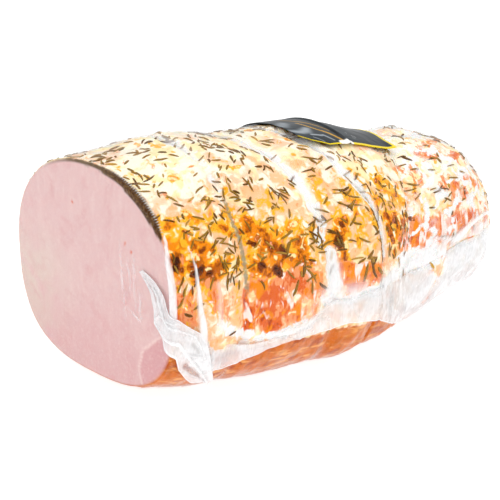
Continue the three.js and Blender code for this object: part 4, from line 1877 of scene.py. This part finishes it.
@dataclass(frozen=True)
class Softbox:
    """A square soft light aimed at the middle of the ham; metres and watts."""

    name: str
    place: Triple
    side: float
    power: float

    def build(self, target: Vector) -> None:
        """Hang the light and turn it to the target.

        Args:
            target: Where it points, in metres.
        """
        light = bpy.data.lights.new(self.name, "AREA")
        light.shape, light.size, light.energy = "SQUARE", self.side, self.power
        lamp = bpy.data.objects.new(self.name, light)
        bpy.context.scene.collection.objects.link(lamp)
        lamp.location = self.place
        lamp.rotation_euler = (target - lamp.location).to_track_quat("-Z", "Y").to_euler()


@dataclass
class Studio:
    """A white room: pale floor, soft lights and the camera."""

    azimuth: float = -36.73
    elevation: float = 16.57
    roll: float = 2.11
    place: Triple = (-0.5095, -0.63651, 0.29985)
    lens: float = 100.0
    sensor_width: float = 36.0
    nearest: float = 0.01
    target: Triple = (0.0, 0.0, 0.07)
    floor_reach: float = 3.0
    floor_colour: str = "#A8A8A8"
    floor_glow: float = 0.92
    world_strength: float = 0.7
    softboxes: tuple[Softbox, ...] = (
        Softbox("top_softbox", (0.0, -0.1, 1.1), 0.9, 5.6),
        Softbox("near_softbox", (-0.8, -1.0, 0.7), 0.5, 1.0),
        Softbox("tail_softbox", (0.9, -0.7, 0.6), 0.35, 0.8),
        Softbox("glint_lamp", (-0.7, -1.1, 1.0), 0.1, 1.2),
    )

    def build(self) -> None:
        """Build the floor, the lights, the sky and the camera."""
        self.floor()
        world = bpy.data.worlds.new("white_room")
        bpy.context.scene.world = world
        world.use_nodes = True
        sky = world.node_tree.nodes["Background"]
        sky.inputs["Color"].default_value = (1.0, 1.0, 1.0, 1.0)
        sky.inputs["Strength"].default_value = self.world_strength
        for softbox in self.softboxes:
            softbox.build(Vector(self.target))
        bpy.context.scene.view_settings.view_transform = "Standard"
        self.camera()

    def floor(self) -> None:
        """Lay the pale floor."""
        mesh = bpy.data.meshes.new("studio_floor")
        reach = self.floor_reach
        corners = [(x * reach, y * reach, 0.0) for x, y in ((-1, -1), (1, -1), (1, 1), (-1, 1))]
        mesh.from_pydata(corners, [], [(0, 1, 2, 3)])
        floor = bpy.data.objects.new("studio_floor", mesh)
        bpy.context.scene.collection.objects.link(floor)
        material, tree, output = new_material("opal_acrylic_light_table")
        links = {
            "Base Color": linear(self.floor_colour),
            "Roughness": 0.9,
            "Emission Color": (1.0, 1.0, 1.0, 1.0),
            "Emission Strength": self.floor_glow,
        }
        shader = add_node(tree, "BsdfPrincipled", links)
        tree.links.new(shader.outputs[0], output.inputs["Surface"])
        mesh.materials.append(material)

    def camera(self) -> None:
        """Set the camera at its azimuth, elevation and roll."""
        azimuth, elevation, roll = map(math.radians, (self.azimuth, self.elevation, self.roll))
        level = Vector((math.cos(azimuth), math.sin(azimuth), 0.0))
        back = Vector((
            math.sin(azimuth) * math.cos(elevation),
            -math.cos(azimuth) * math.cos(elevation),
            math.sin(elevation),
        ))
        rise = back.cross(level)
        right = level * math.cos(roll) + rise * math.sin(roll)
        up = rise * math.cos(roll) - level * math.sin(roll)
        lens = bpy.data.cameras.new("camera")
        lens.lens, lens.sensor_width, lens.clip_start = self.lens, self.sensor_width, self.nearest
        camera = bpy.data.objects.new("camera", lens)
        bpy.context.scene.collection.objects.link(camera)
        rotation = Matrix((right, up, back)).transposed().to_4x4()
        camera.matrix_world = Matrix.Translation(self.place) @ rotation
        bpy.context.scene.camera = camera


def main() -> None:
    """Build every piece in order and report it."""
    logging.basicConfig(level=logging.INFO, format="%(name)s: %(message)s")
    shape = LogShape()
    ham = Ham(shape)
    builders = (
        ("studio", Studio().build),
        ("baked ham", ham.build),
        ("rosemary", Rosemary(shape, ham).build),
        ("bag webs", Bag(shape, ham).build),
        ("front seal", SideSeal(shape, Side.FRONT).build),
        ("back seal", SideSeal(shape, Side.BACK).build),
        ("corner tab", CornerTab(shape).build),
        ("label", Label(shape).build),
    )
    for name, build in builders:
        build()
        LOG.info("built the %s", name)


if __name__ == "__main__":
    main()
